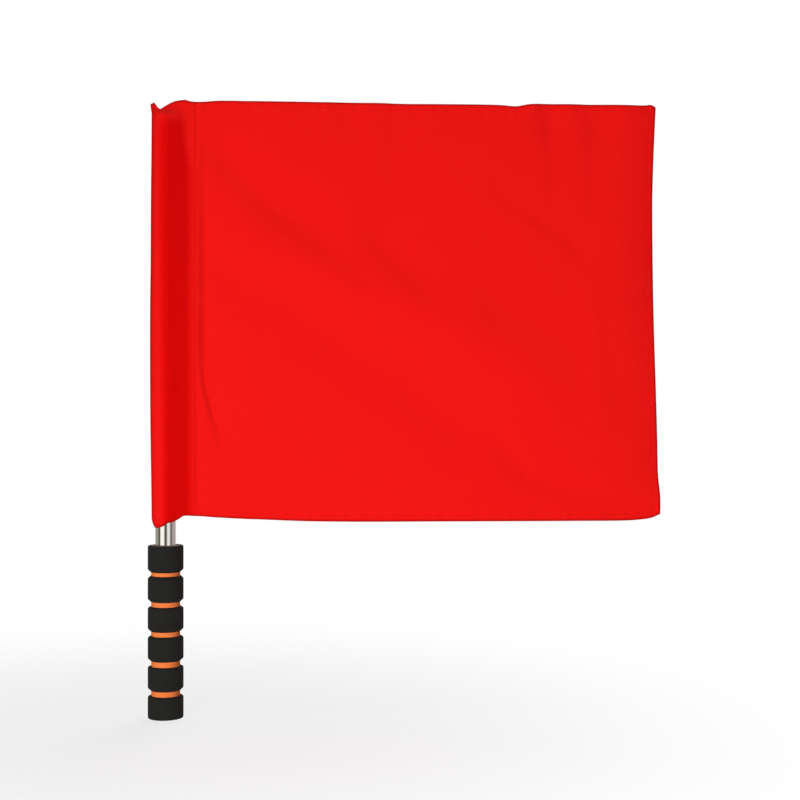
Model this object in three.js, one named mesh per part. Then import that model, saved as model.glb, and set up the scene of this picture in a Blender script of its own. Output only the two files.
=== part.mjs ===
// Linesman flag: a red cloth flag on a polished tube, with a grooved grip of two foam layers.
// Lengths are millimetres. +Z runs up the tube, the panel reaches towards +X and its front faces -Y.
// The origin is the centre of the grip's lower end.

import * as THREE from 'three';

// Tube and the gap that pieces keep where they touch
const fitGap = 0.3;
const tubeDiameter = 16;
const tubeWall = 0.8;
const bareTubeLength = 18.8;

// Plastic plugs in the tube's two ends
const plugStemLength = 18;
const plugWall = 1.6;
const plugRibCount = 3;
const plugRibDepth = 0.5;
const flangeThickness = 2;
const flangeChamfer = 0.5;
const domeRim = 1;
const domeHeight = 5;

// Foam grip: black bands round an orange sleeve, parted by five grooves
const gripDiameter = 28;
const gripLength = 136;
const coreDiameter = 22.6;
const bandCount = 6;
const topBandLength = 22.4;
const bottomBandLength = 20.4;
const grooveWidth = 7;
const grooveFloorWidth = 2.8;
const gripEndRounding = 1;

// Cloth: how thick it lies, and the hem turned under along its free edges
const clothThickness = 0.5;
const hemWidth = 6;
const hemStep = 1;
const hemFold = 0.4;

// Panel: the hoist is its height beside the tube, the reach runs from the tube's axis to the fly edge
const hoistHeight = 329.6;
const panelReach = 386.1;
const edgeWave = 5;
const foldDepth = 5;
const foldWidth = 20;
const foldLead = 24;
const flyCurl = 6;
const flyCurlWidth = 34;

// Pocket: its reach to the left of the axis, to the seam and to the sewn edge on the right of it
const pocketLeftReach = 10.7;
const pocketBow = 1.5;
const pocketSlack = 0.25;
const seamReach = 17.5;
const pocketEdgeReach = 24;
const panelTuck = 5.5;
const sewnTopHeight = 6.4;
const puckerDepth = 3;
const puckerReach = 15;

// How finely the round pieces and the cloth are divided
const roundSides = 48;
const roundingSteps = 4;
const domeSteps = 6;
const panelColumns = 24;
const panelRows = 14;
const pocketRows = 9;
const pocketSideColumns = 5;
const pocketBendColumns = 10;

// Places that follow from the sizes
const tubeRadius = tubeDiameter / 2;
const tubeBoreRadius = tubeRadius - tubeWall;
const layerPitch = clothThickness + fitGap;
const panelBottom = gripLength + bareTubeLength;
const panelTop = panelBottom + hoistHeight;
const domeTop = panelTop - sewnTopHeight;
const domeBase = domeTop - domeHeight;
const plugHeadBase = domeBase - domeRim;
const tubeTop = plugHeadBase - fitGap;
const tubeBottom = flangeThickness + fitGap;
const pocketHalfDepth = tubeRadius + fitGap + pocketSlack + clothThickness / 2;
const panelHoistEdge = pocketEdgeReach - panelTuck;
const panelWidth = panelReach - panelHoistEdge;

// The hems stray from straight lines: rows of [share of the way along, share of edgeWave].
// Panel edges run from the hoist to the fly, the fly edge from the bottom up.
const panelTopShares = [
  [0, 0.3], [0.07, 0.5], [0.12, 0.48], [0.24, 0.32], [0.37, 0.16], [0.46, 0.04], [0.56, -0.04],
  [0.635, -0.1], [0.67, -0.18], [0.7, -0.36], [0.73, 0], [0.77, 0.05], [0.89, -0.07], [0.95, -0.19],
  [0.976, -0.21], [0.99, -0.08], [1, -0.4],
];
const panelBottomShares = [
  [0, 0.84], [0.055, 0.62], [0.12, 0.36], [0.152, 0.29], [0.216, 0.11], [0.27, 0], [0.8, 0],
  [0.93, 0.15], [0.97, 0.44], [1, 1.2],
];
const flyEdgeShares = [
  [0, 1.2], [0.05, 1.02], [0.1, 0.8], [0.17, 0.62], [0.29, 0.42], [0.43, 0.12], [0.58, -0.08],
  [0.77, -0.12], [0.87, -0.02], [0.97, 0.26], [1, 0.36],
];
// The pocket's edges run from its left bend to its sewn edge.
const pocketTopShares = [
  [0, 0.1], [0.05, 0.26], [0.18, -0.86], [0.3, -0.45], [0.4, -0.02], [0.52, 0.45], [0.65, 0.6],
  [0.77, 0.58], [0.86, 0.33], [1, 0.32],
];
const pocketBottomShares = [
  [0, 0.3], [0.04, -0.3], [0.09, -0.95], [0.13, -1.1], [0.2, -0.88], [0.3, -0.6], [0.38, -0.2],
  [0.52, 0.06], [0.6, 0.42], [0.7, 0.95], [0.78, 1.04], [1, 0.92],
];

// Folds of the panel as [share across, share up] of their two ends, then shares of foldDepth and
// foldWidth. A positive depth stands out of the front, a negative one sinks in.
const foldShares = [
  { from: [0.07, 0.67], to: [0.69, 0.34], depth: 1, width: 1.5 },
  { from: [0.08, 0.85], to: [0.39, 0.56], depth: -0.7, width: 0.8 },
  { from: [0.39, 0.68], to: [0.54, 0.49], depth: -0.5, width: 0.7 },
  { from: [0.23, 0.47], to: [0.73, 0.08], depth: -0.8, width: 1.1 },
  { from: [0.73, 0.08], to: [0.94, 0.04], depth: -0.5, width: 0.8 },
  { from: [0.76, 1], to: [0.77, 0.8], depth: -0.4, width: 0.6 },
  { from: [0.86, 1], to: [0.86, 0.78], depth: -0.4, width: 0.6 },
  { from: [0.89, 0.51], to: [0.89, 0.23], depth: -0.3, width: 0.8 },
  { from: [0.84, 0.51], to: [0.84, 0.23], depth: 0.3, width: 0.8 },
  { from: [0.69, 0.78], to: [0.83, 0.65], depth: -0.4, width: 0.9 },
  { from: [0.42, 0.96], to: [0.43, 0.76], depth: -0.25, width: 0.6 },
];

// Rows of the pocket where its top closes over the plug, as shares of the way up the dome
const closingShares = [0.4, 0.65, 0.82, 0.93, 1];

// Materials
const polishedSteel = { color: 0xc9cbcc, roughness: 0.12, metalness: 1 };
const blackPlastic = { color: 0x1b1b1c, roughness: 0.5, metalness: 0 };
const blackFoam = { color: 0x232322, roughness: 0.9, metalness: 0 };
const orangeFoam = { color: 0xea8049, roughness: 0.9, metalness: 0 };
const redCloth = { color: 0xee1614, roughness: 0.7, metalness: 0 };

// Names a geometry and gives it a material of its own.
function piece(name, geometry, finish) {
  const mesh = new THREE.Mesh(geometry, new THREE.MeshStandardMaterial(finish));
  mesh.name = name;
  return mesh;
}

// Turns a profile of [radius, height] points about the Z axis.
function turned(profile) {
  const points = profile.map(([radius, height]) => new THREE.Vector2(radius, height));
  const geometry = new THREE.LatheGeometry(points, roundSides);
  return geometry.rotateX(Math.PI / 2);
}

// A ring's profile has to come back to its first point.
function ringProfile(points) {
  return [...points, points[0]];
}

function smoothStep(value) {
  const share = Math.min(Math.max(value, 0), 1);
  return share * share * (3 - 2 * share);
}

// Reads a table of [place, value] rows as a smooth curve, by cubic pieces with the slopes of the chords.
function curveThrough(rows) {
  const slopes = rows.map((row, i) => {
    const before = rows[Math.max(i - 1, 0)];
    const after = rows[Math.min(i + 1, rows.length - 1)];
    return (after[1] - before[1]) / (after[0] - before[0]);
  });
  return (place) => {
    const last = rows.length - 2;
    const found = rows.findIndex((row, i) => i <= last && place <= rows[i + 1][0]);
    const i = found < 0 ? last : found;
    const span = rows[i + 1][0] - rows[i][0];
    const t = Math.min(Math.max((place - rows[i][0]) / span, 0), 1);
    const rise = rows[i + 1][1] - rows[i][1];
    const bend = t * (1 - t) * ((1 - t) * (slopes[i] * span - rise) - t * (slopes[i + 1] * span - rise));
    return rows[i][1] + rise * t + bend;
  };
}

// A closed sheet with two faces on one grid. place(column, row, side) gives a point, and side is 1 on the
// face that the columns and rows turn outwards and -1 on the other.
function sheet(columns, rows, place) {
  const positions = [];
  const indices = [];
  const at = (i, j, side) => (side > 0 ? 0 : columns * rows) + j * columns + i;
  for (const side of [1, -1]) {
    for (let j = 0; j < rows; j += 1) {
      for (let i = 0; i < columns; i += 1) {
        positions.push(...place(i, j, side));
      }
    }
  }
  const quad = (a, b, c, d) => indices.push(a, b, c, a, c, d);
  const lastColumn = columns - 1;
  const lastRow = rows - 1;
  for (let j = 0; j < lastRow; j += 1) {
    for (let i = 0; i < lastColumn; i += 1) {
      quad(at(i, j, 1), at(i + 1, j, 1), at(i + 1, j + 1, 1), at(i, j + 1, 1));
      quad(at(i, j, -1), at(i, j + 1, -1), at(i + 1, j + 1, -1), at(i + 1, j, -1));
    }
  }
  for (let i = 0; i < lastColumn; i += 1) {
    quad(at(i, 0, 1), at(i, 0, -1), at(i + 1, 0, -1), at(i + 1, 0, 1));
    quad(at(i, lastRow, 1), at(i + 1, lastRow, 1), at(i + 1, lastRow, -1), at(i, lastRow, -1));
  }
  for (let j = 0; j < lastRow; j += 1) {
    quad(at(0, j, 1), at(0, j + 1, 1), at(0, j + 1, -1), at(0, j, -1));
    quad(at(lastColumn, j, 1), at(lastColumn, j, -1), at(lastColumn, j + 1, -1), at(lastColumn, j + 1, 1));
  }
  const geometry = new THREE.BufferGeometry();
  geometry.setAttribute('position', new THREE.Float32BufferAttribute(positions, 3));
  geometry.setIndex(indices);
  geometry.computeVertexNormals();
  return geometry;
}

// The polished tube, open at both ends.
function makeTube() {
  return turned(ringProfile([
    [tubeBoreRadius, tubeBottom],
    [tubeRadius, tubeBottom],
    [tubeRadius, tubeTop],
    [tubeBoreRadius, tubeTop],
  ]));
}

// The ribbed side of a plug's stem, from its root at the head to its tip, as profile points.
function stemSide(root, tip) {
  const radius = tubeBoreRadius - fitGap;
  const points = [[radius, root]];
  const step = (tip - root) / (2 * plugRibCount);
  for (let rib = 0; rib < plugRibCount; rib += 1) {
    const start = root + step * (2 * rib + 1);
    points.push([radius, start], [radius - plugRibDepth, start], [radius - plugRibDepth, start + step / 2]);
    points.push([radius, start + step]);
  }
  points.push([radius - plugRibDepth, tip]);
  return points;
}

// The lower plug: a flat flange under the tube's end and a hollow ribbed stem inside the tube.
function makeBottomPlug() {
  const tip = flangeThickness + plugStemLength;
  const boreRadius = tubeBoreRadius - fitGap - plugRibDepth - plugWall;
  return turned([
    [0, 0],
    [tubeRadius - flangeChamfer, 0],
    [tubeRadius, flangeChamfer],
    [tubeRadius, flangeThickness],
    ...stemSide(flangeThickness, tip),
    [boreRadius, tip],
    [boreRadius, flangeThickness],
    [0, flangeThickness],
  ]);
}

// The upper plug: a domed head over the tube's end and the same stem, hanging down into the tube.
function makeTopPlug() {
  const tip = plugHeadBase - plugStemLength;
  const boreRadius = tubeBoreRadius - fitGap - plugRibDepth - plugWall;
  const dome = [];
  for (let step = 0; step < domeSteps; step += 1) {
    const angle = (Math.PI / 2) * (step / domeSteps);
    dome.push([tubeRadius * Math.cos(angle), domeBase + domeHeight * Math.sin(angle)]);
  }
  return turned([
    [0, plugHeadBase],
    [boreRadius, plugHeadBase],
    [boreRadius, tip],
    ...stemSide(plugHeadBase, tip).reverse(),
    [tubeRadius, plugHeadBase],
    ...dome,
    [0, domeTop],
  ]);
}

// The orange sleeve that the bands are glued on.
function makeGripCore() {
  const bore = tubeRadius + fitGap;
  return turned(ringProfile([
    [bore, 0],
    [coreDiameter / 2, 0],
    [coreDiameter / 2, gripLength],
    [bore, gripLength],
  ]));
}

// Heights of the grooves' middles, from the top down.
function grooveHeights() {
  const grooves = bandCount - 1;
  const pitch = (gripLength - topBandLength - bottomBandLength) / (grooves - 1);
  return Array.from({ length: grooves }, (_, i) => gripLength - topBandLength - pitch * i);
}

// One edge of a band as [radius, height] points from the sleeve outwards: a bevel beside a groove, or a
// small rounding at an end of the grip. inwards is 1 where the band's body lies above the edge.
function bandEdge(height, inwards, atGroove) {
  const outer = gripDiameter / 2;
  const inner = coreDiameter / 2 + fitGap;
  if (atGroove) {
    const foot = height + inwards * (grooveFloorWidth / 2);
    const shoulder = height + inwards * (grooveWidth / 2);
    return [[inner, foot], [outer, shoulder]];
  }
  const points = [[inner, height]];
  for (let step = 0; step <= roundingSteps; step += 1) {
    const angle = (Math.PI / 2) * (step / roundingSteps);
    const radius = outer - gripEndRounding * (1 - Math.sin(angle));
    points.push([radius, height + inwards * gripEndRounding * (1 - Math.cos(angle))]);
  }
  return points;
}

// The black foam bands, numbered from the top.
function makeBands() {
  const edges = [gripLength, ...grooveHeights(), 0];
  return Array.from({ length: bandCount }, (_, i) => {
    const lower = bandEdge(edges[i + 1], 1, i < bandCount - 1);
    const upper = bandEdge(edges[i], -1, i > 0);
    const profile = ringProfile([...lower, ...upper.reverse()]);
    return piece(`grip_band_${i + 1}`, turned(profile), blackFoam);
  });
}

// How far the panel's face stands out of the front at a place given in shares: the sum of its folds, each
// a bell across its line, less the curl of the fly edge. It dies out towards the pocket.
function panelRelief(across, up) {
  let relief = 0;
  for (const { from, to, depth, width } of foldShares) {
    const start = [from[0] * panelWidth, from[1] * hoistHeight];
    const run = [(to[0] - from[0]) * panelWidth, (to[1] - from[1]) * hoistHeight];
    const away = [across * panelWidth - start[0], up * hoistHeight - start[1]];
    const along = (away[0] * run[0] + away[1] * run[1]) / (run[0] ** 2 + run[1] ** 2);
    const t = Math.min(Math.max(along, 0), 1);
    const distance = Math.hypot(away[0] - run[0] * t, away[1] - run[1] * t);
    relief += foldDepth * depth * Math.exp(-((distance / (foldWidth * width)) ** 2));
  }
  const fromFly = (1 - across) * panelWidth;
  relief -= flyCurl * Math.max(1 - fromFly / flyCurlWidth, 0) ** 2;
  const pastPocket = across * panelWidth - panelTuck;
  return relief * smoothStep(pastPocket / foldLead);
}

// The panel: one sheet from its hoist edge, held inside the pocket's seam, to the fly. Its hems are
// turned to the back, so only the back face steps there.
function makePanel() {
  const topCurve = curveThrough(panelTopShares);
  const bottomCurve = curveThrough(panelBottomShares);
  const flyCurve = curveThrough(flyEdgeShares);
  const innerWidth = panelWidth - panelTuck - hemStep - hemWidth - hemStep;
  const across = [0, panelTuck / panelWidth];
  for (let i = 0; i <= panelColumns; i += 1) {
    across.push((panelTuck + hemStep + (innerWidth * i) / panelColumns) / panelWidth);
  }
  across.push((panelWidth - hemWidth) / panelWidth, 1);
  const innerHeight = hoistHeight - 2 * (hemWidth + hemStep);
  const up = [0, hemWidth / hoistHeight];
  for (let j = 0; j <= panelRows; j += 1) {
    up.push((hemWidth + hemStep + (innerHeight * j) / panelRows) / hoistHeight);
  }
  up.push((hoistHeight - hemWidth) / hoistHeight, 1);
  const place = (i, j, side) => {
    const onHem = i >= across.length - 2 || ((j < 2 || j >= up.length - 2) && i > 1);
    const low = panelBottom + edgeWave * bottomCurve(across[i]);
    const high = panelTop + edgeWave * topCurve(across[i]);
    const x = panelHoistEdge + across[i] * (panelWidth + edgeWave * flyCurve(up[j]));
    const front = -panelRelief(across[i], up[j]) - clothThickness / 2;
    const back = front + clothThickness + (onHem ? hemFold : 0);
    return [x, side > 0 ? front : back, low + (high - low) * up[j]];
  };
  return sheet(across.length, up.length, place);
}

// The pocket's places round the tube, from its sewn edge on the back, round the left bend, to its sewn
// edge on the front: either an angle of the bend or a distance to the right on the back or front layer.
function pocketStations() {
  const side = [pocketEdgeReach];
  for (let i = 0; i < pocketSideColumns; i += 1) {
    side.push(seamReach * (1 - i / pocketSideColumns));
  }
  const stations = side.map((x) => ({ x, layer: 1 }));
  for (let i = 0; i <= pocketBendColumns; i += 1) {
    stations.push({ turn: (Math.PI * i) / pocketBendColumns });
  }
  return [...stations, ...side.reverse().map((x) => ({ x, layer: -1 }))];
}

// Half the pocket's depth at a height: it holds the tube, closes over the dome, and lies flat above it.
function pocketDepth(height) {
  const closed = layerPitch / 2;
  const q = Math.min(Math.max((height - domeBase) / (domeHeight + fitGap), 0), 1);
  return closed + (pocketHalfDepth - closed) * Math.sqrt(1 - q * q);
}

// How far a side of the pocket lies from the panel's plane, where the pocket is that deep. The taut cloth
// leaves the seam along a tangent of the circle round the tube and then follows that circle.
function pocketSide(x, depth) {
  const far = Math.hypot(seamReach, layerPitch);
  const touchAngle = Math.atan2(layerPitch, seamReach) + Math.acos(depth / far);
  const touchReach = depth * Math.cos(touchAngle);
  if (x < touchReach) {
    return Math.sqrt(depth ** 2 - x ** 2);
  }
  const rise = depth * Math.sin(touchAngle) - layerPitch;
  return layerPitch + (rise * Math.max(seamReach - x, 0)) / (seamReach - touchReach);
}

// The pocket: a strip of cloth round the tube. In plan its bend is half an ellipse, its two sides are taut
// between the tube and the seam, and past the seam they lie flat on the panel's two faces. The slack of the
// closed top is taken up by one pucker.
function makePocket() {
  const topCurve = curveThrough(pocketTopShares);
  const bottomCurve = curveThrough(pocketBottomShares);
  const stations = pocketStations();
  const lowestRow = panelBottom + 2 * edgeWave;
  const fixedRows = [];
  for (let j = 0; j <= pocketRows; j += 1) {
    fixedRows.push(lowestRow + ((domeBase - lowestRow) * j) / pocketRows);
  }
  for (const share of closingShares) {
    fixedRows.push(domeBase + (domeHeight + fitGap) * share);
  }
  const closeHeight = fixedRows.at(-1);
  const rowCount = fixedRows.length + 2;
  const place = (i, j, side) => {
    const station = stations[i];
    const offset = (side * clothThickness) / 2;
    const middle = fixedRows[Math.min(Math.max(j - 1, 0), fixedRows.length - 1)];
    const depth = pocketDepth(j === rowCount - 1 ? panelTop : middle);
    const bow = Math.sin((Math.PI * (middle - panelBottom)) / hoistHeight);
    const reach = pocketLeftReach + pocketBow * bow;
    let x;
    let y;
    if ('turn' in station) {
      x = -(reach + offset) * Math.sin(station.turn);
      y = (depth + offset) * Math.cos(station.turn);
    } else {
      x = station.x;
      y = station.layer * (pocketSide(x, depth) + offset);
    }
    const along = (x + pocketLeftReach) / (pocketEdgeReach + pocketLeftReach);
    let height = middle;
    if (j === 0) {
      height = panelBottom + edgeWave * bottomCurve(along);
    } else if (j === rowCount - 1) {
      height = panelTop + edgeWave * topCurve(along);
    }
    const wave = Math.sin((2 * Math.PI * (x + pocketLeftReach)) / (puckerReach + pocketLeftReach));
    const lift = Math.max((height - closeHeight) / (panelTop - closeHeight), 0);
    const pucker = x < puckerReach ? -puckerDepth * wave * lift : 0;
    return [x, y + pucker, height];
  };
  return sheet(stations.length, rowCount, place);
}

const flag = new THREE.Group();
flag.add(piece('pole_tube', makeTube(), polishedSteel));
flag.add(piece('pole_top_plug', makeTopPlug(), blackPlastic));
flag.add(piece('pole_bottom_plug', makeBottomPlug(), blackPlastic));
flag.add(piece('grip_core', makeGripCore(), orangeFoam));
flag.add(...makeBands());
flag.add(piece('pole_pocket', makePocket(), redCloth));
flag.add(piece('flag_panel', makePanel(), redCloth));

export default flag;
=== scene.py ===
"""Looks of a linesman flag: red cloth, thread, a polished tube, plastic plugs and a grip of two foams.

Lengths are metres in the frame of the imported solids. +Z runs up the tube, the panel reaches towards +X
and its front faces -Y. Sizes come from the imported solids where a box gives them, and are named otherwise.
"""

import logging
import math
from collections.abc import Callable, Iterable, Mapping, Sequence
from dataclasses import dataclass, field
from enum import Enum
from typing import Any

import bpy
import numpy as np
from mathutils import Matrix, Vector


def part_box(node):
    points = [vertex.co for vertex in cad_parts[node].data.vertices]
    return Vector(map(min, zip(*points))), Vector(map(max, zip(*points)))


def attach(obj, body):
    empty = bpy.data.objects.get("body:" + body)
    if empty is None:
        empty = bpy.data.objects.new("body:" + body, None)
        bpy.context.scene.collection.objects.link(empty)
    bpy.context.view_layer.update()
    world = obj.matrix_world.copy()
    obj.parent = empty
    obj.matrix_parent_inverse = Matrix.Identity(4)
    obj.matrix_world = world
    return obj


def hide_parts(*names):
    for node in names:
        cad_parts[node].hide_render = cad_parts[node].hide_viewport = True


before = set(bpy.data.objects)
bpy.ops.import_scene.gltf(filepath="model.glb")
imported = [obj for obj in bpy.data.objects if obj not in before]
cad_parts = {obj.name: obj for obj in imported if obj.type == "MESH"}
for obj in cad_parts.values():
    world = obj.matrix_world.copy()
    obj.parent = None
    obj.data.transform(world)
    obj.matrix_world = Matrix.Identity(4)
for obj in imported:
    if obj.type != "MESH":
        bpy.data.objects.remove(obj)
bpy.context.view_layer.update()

LOG = logging.getLogger("linesman_flag")
MM = 0.001
NEAR_BEND = 0.15 * MM

Colour = tuple[float, float, float, float]
Profile = Sequence[tuple[float, float]]
Unevenness = Callable[[np.ndarray, np.ndarray, np.ndarray], tuple[np.ndarray, np.ndarray]]


class Slot(Enum):
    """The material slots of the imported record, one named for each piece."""

    STEEL = "polished_steel"
    PLASTIC = "black_plastic"
    BLACK_FOAM = "black_foam"
    ORANGE_FOAM = "orange_foam"
    CLOTH = "red_cloth"


class Body(Enum):
    """The two bodies that move against each other."""

    POLE = "pole"
    FLAG = "flag"


class Side(Enum):
    """The two faces of a cloth: OUTER is the one that its columns and rows turn towards."""

    OUTER = 1
    INNER = -1


# Shader maths


class Link:
    """A shader socket on which arithmetic can be written. Each operation adds one Math node."""

    def __init__(self, graph: "Graph", socket: bpy.types.NodeSocket) -> None:
        """Keeps the graph that the socket belongs to."""
        self.graph = graph
        self.socket = socket

    def maths(self, operation: str, *values: "Link | float") -> "Link":
        """Adds a Math node of that operation on the values, in their order."""
        made = self.graph.node("Math", {"operation": operation}, dict(enumerate(values)))
        return self.graph.out(made)

    def __add__(self, other: "Link | float") -> "Link":
        """The sum."""
        return self.maths("ADD", self, other)

    def __sub__(self, other: "Link | float") -> "Link":
        """The difference."""
        return self.maths("SUBTRACT", self, other)

    def __rsub__(self, other: float) -> "Link":
        """A number less this."""
        return self.maths("SUBTRACT", other, self)

    def __mul__(self, other: "Link | float") -> "Link":
        """The product."""
        return self.maths("MULTIPLY", self, other)

    def __truediv__(self, other: "Link | float") -> "Link":
        """The quotient."""
        return self.maths("DIVIDE", self, other)

    __radd__ = __add__
    __rmul__ = __mul__

    def sine(self) -> "Link":
        """The sine of this angle in radians."""
        return self.maths("SINE", self)

    def size(self) -> "Link":
        """The value without its sign."""
        return self.maths("ABSOLUTE", self)

    def larger(self, other: "Link | float") -> "Link":
        """The larger of the two."""
        return self.maths("MAXIMUM", self, other)

    def smaller(self, other: "Link | float") -> "Link":
        """The smaller of the two."""
        return self.maths("MINIMUM", self, other)

    def ramp(self, low: float, high: float) -> "Link":
        """0 below low, 1 above high and a smooth step between them.

        Args:
            low: where the step starts.
            high: where it ends.

        Returns:
            The step.
        """
        made = self.graph.node(
            "MapRange",
            {"interpolation_type": "SMOOTHSTEP"},
            {"Value": self, "From Min": low, "From Max": high},
        )
        return self.graph.out(made)


class Graph:
    """The nodes of one material or world."""

    MIX_COLOURS = (6, 7)
    MIX_RESULT = 2

    def __init__(self, tree: bpy.types.NodeTree) -> None:
        """Starts from an empty tree."""
        self.tree = tree
        tree.nodes.clear()

    def node(
        self,
        kind: str,
        settings: Mapping[str, Any] | None = None,
        inputs: Mapping[str | int, Any] | None = None,
    ) -> bpy.types.Node:
        """Adds a node, sets it, and then gives its sockets their values or links.

        Args:
            kind: the node's type without its ShaderNode prefix.
            settings: its settings by name; "stops" holds a ramp's rows of place and colour.
            inputs: numbers, colours or Links by the socket's name or number.

        Returns:
            The new node.
        """
        made = self.tree.nodes.new("ShaderNode" + kind)
        for name, value in (settings or {}).items():
            if name == "stops":
                self._set_stops(made.color_ramp, value)
            else:
                setattr(made, name, value)
        for name, value in (inputs or {}).items():
            if isinstance(value, Link):
                self.tree.links.new(value.socket, made.inputs[name])
            else:
                made.inputs[name].default_value = value
        return made

    @staticmethod
    def _set_stops(ramp: bpy.types.ColorRamp, stops: Sequence[tuple[float, Colour]]) -> None:
        """Gives a ramp its stops.

        Args:
            ramp: a new ramp.
            stops: rows of place and colour, in rising order.
        """
        while len(ramp.elements) > 1:
            ramp.elements.remove(ramp.elements[0])
        ramp.elements[0].position, ramp.elements[0].color = stops[0]
        for place, colour in stops[1:]:
            ramp.elements.new(place).color = colour

    def out(self, made: bpy.types.Node, name: str | int = 0) -> Link:
        """One of a node's outputs as a Link."""
        return Link(self, made.outputs[name])

    def mix(self, factor: Link | float, first: Link | Colour, second: Link | Colour) -> Link:
        """Mixes two colours.

        Args:
            factor: 0 gives the first colour and 1 the second.
            first: a colour.
            second: another colour.

        Returns:
            The mixed colour.
        """
        a, b = self.MIX_COLOURS
        made = self.node("Mix", {"data_type": "RGBA"}, {0: factor, a: first, b: second})
        return self.out(made, self.MIX_RESULT)

    def tinted(self, factor: Link | float, colour: Link, tint: Colour) -> Link:
        """Multiplies a colour by a tint.

        Args:
            factor: how far, from 0 to 1.
            colour: the colour.
            tint: the tint.

        Returns:
            The tinted colour.
        """
        a, b = self.MIX_COLOURS
        settings = {"data_type": "RGBA", "blend_type": "MULTIPLY"}
        made = self.node("Mix", settings, {0: factor, a: colour, b: tint})
        return self.out(made, self.MIX_RESULT)

    def stretched(self, place: Link, scale: tuple[float, float, float]) -> Link:
        """A place scaled along each axis, by a Mapping node."""
        return self.out(self.node("Mapping", {}, {"Vector": place, "Scale": scale}))

    def noise(self, place: Link, scale: float, detail: float = 2.0) -> Link:
        """Noise from 0 to 1, about 0.5 on average."""
        made = self.node("TexNoise", {}, {"Vector": place, "Scale": scale, "Detail": detail})
        return self.out(made, "Fac")

    def bump(self, height: Link, distance: float, strength: float, below: Link | None = None) -> Link:
        """Bends the surface normal by a height.

        Args:
            height: the height, 0 to 1.
            distance: how far 1 stands out.
            strength: how strongly the normal bends.
            below: another bent normal that this one adds to.

        Returns:
            The normal.
        """
        inputs = {"Height": height, "Distance": distance, "Strength": strength}
        if below is not None:
            inputs["Normal"] = below
        return self.out(self.node("Bump", {}, inputs))


def material_of(name: str, dress: Callable[[Graph], Mapping[str, Any]]) -> bpy.types.Material:
    """Makes a material of one Principled shader.

    Args:
        name: the material's name.
        dress: adds the material's nodes to a graph and returns the shader's inputs.

    Returns:
        The material.
    """
    material = bpy.data.materials.new(name)
    material.use_nodes = True
    graph = Graph(material.node_tree)
    shader = graph.node("BsdfPrincipled", {}, dress(graph))
    graph.node("OutputMaterial", {}, {"Surface": graph.out(shader)})
    return material


def grey(level: float) -> Colour:
    """A grey of that linear level."""
    return (level, level, level, 1.0)


# Finishes


@dataclass(frozen=True)
class WovenCloth:
    """Red polyester in a plain weave, matt, with uneven threads. Its free edges are painted darker:
    painted shade on the rolled hems."""

    width: float
    hoist: float
    name: str = "woven_red_cloth"
    lit: Colour = (0.86, 0.0088, 0.0076, 1.0)
    deep: Colour = (0.75, 0.0066, 0.0057, 1.0)
    thread_pitch: float = 0.32 * MM
    thread_relief: float = 0.045 * MM
    thread_share: float = 0.3
    slub_length: float = 26 * MM
    cloud_size: float = 60 * MM
    cloud_share: float = 0.25
    crumple_size: float = 7 * MM
    crumple_relief: float = 0.05 * MM
    # Painted shade: this tint darkens the fly, bottom and top edges over this width.
    painted_edge_shade_tint: Colour = grey(0.55)
    painted_edge_shade_width: float = 2.6 * MM
    sheen_tint: Colour = (1.0, 0.1, 0.08, 1.0)

    def dress(self, graph: Graph) -> Mapping[str, Any]:
        """Weave height is the higher of warp and weft. With a and b the sines across and up the weave,
        warp is (|a| + ab) / 2 and weft is (|b| - ab) / 2, so each thread dives under every second one.

        Args:
            graph: takes the nodes.

        Returns:
            The inputs of the cloth's shader.
        """
        place = graph.out(graph.node("UVMap", {"uv_map": ClothShell.UV_LAYER}))
        apart = graph.node("SeparateXYZ", {}, {0: place})
        x, z = graph.out(apart, "X"), graph.out(apart, "Y")
        across = (x * (math.pi / self.thread_pitch)).sine()
        up = (z * (math.pi / self.thread_pitch)).sine()
        both = across * up
        weave = ((across.size() + both) * 0.5).larger((up.size() - both) * 0.5)
        fine, long = 1 / (2 * self.thread_pitch), 1 / self.slub_length
        warp = graph.noise(graph.stretched(place, (fine, long, 1)), 1.0, 1.0)
        weft = graph.noise(graph.stretched(place, (long, fine, 1)), 1.0, 1.0)
        cloud = graph.noise(place, 1 / self.cloud_size, 3.0)
        shade = (warp + weft + weave) * self.thread_share + cloud * self.cloud_share
        crumple = graph.noise(place, 1 / self.crumple_size, 3.0)
        creased = graph.bump(crumple, self.crumple_relief, 1.0)
        # Painted shade along the free edges, on the rolled hems.
        painted_edge_shade = 1.0 - self.from_edge(x, z).ramp(0, self.painted_edge_shade_width)
        colour = graph.tinted(painted_edge_shade, graph.mix(shade, self.deep, self.lit), self.painted_edge_shade_tint)
        return {
            "Base Color": self.painted_backing_shade(graph, x, z, colour),
            "Roughness": 0.62 + weave * 0.2,
            "Specular IOR Level": 0.06,
            "Sheen Weight": 0.05,
            "Sheen Roughness": 0.5,
            "Sheen Tint": self.sheen_tint,
            "Normal": graph.bump(weave, self.thread_relief, 0.6, creased),
        }

    def from_edge(self, x: Link, z: Link) -> Link:
        """The distance to the nearest free edge on the flat cut: the fly, the bottom or the top."""
        return (self.width - x).smaller(z).smaller(self.hoist - z)

    def painted_backing_shade(self, graph: Graph, x: Link, z: Link, colour: Link) -> Link:
        """Painted shade for what lies behind the cloth: none here, so the colour is unchanged."""
        return colour


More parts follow.
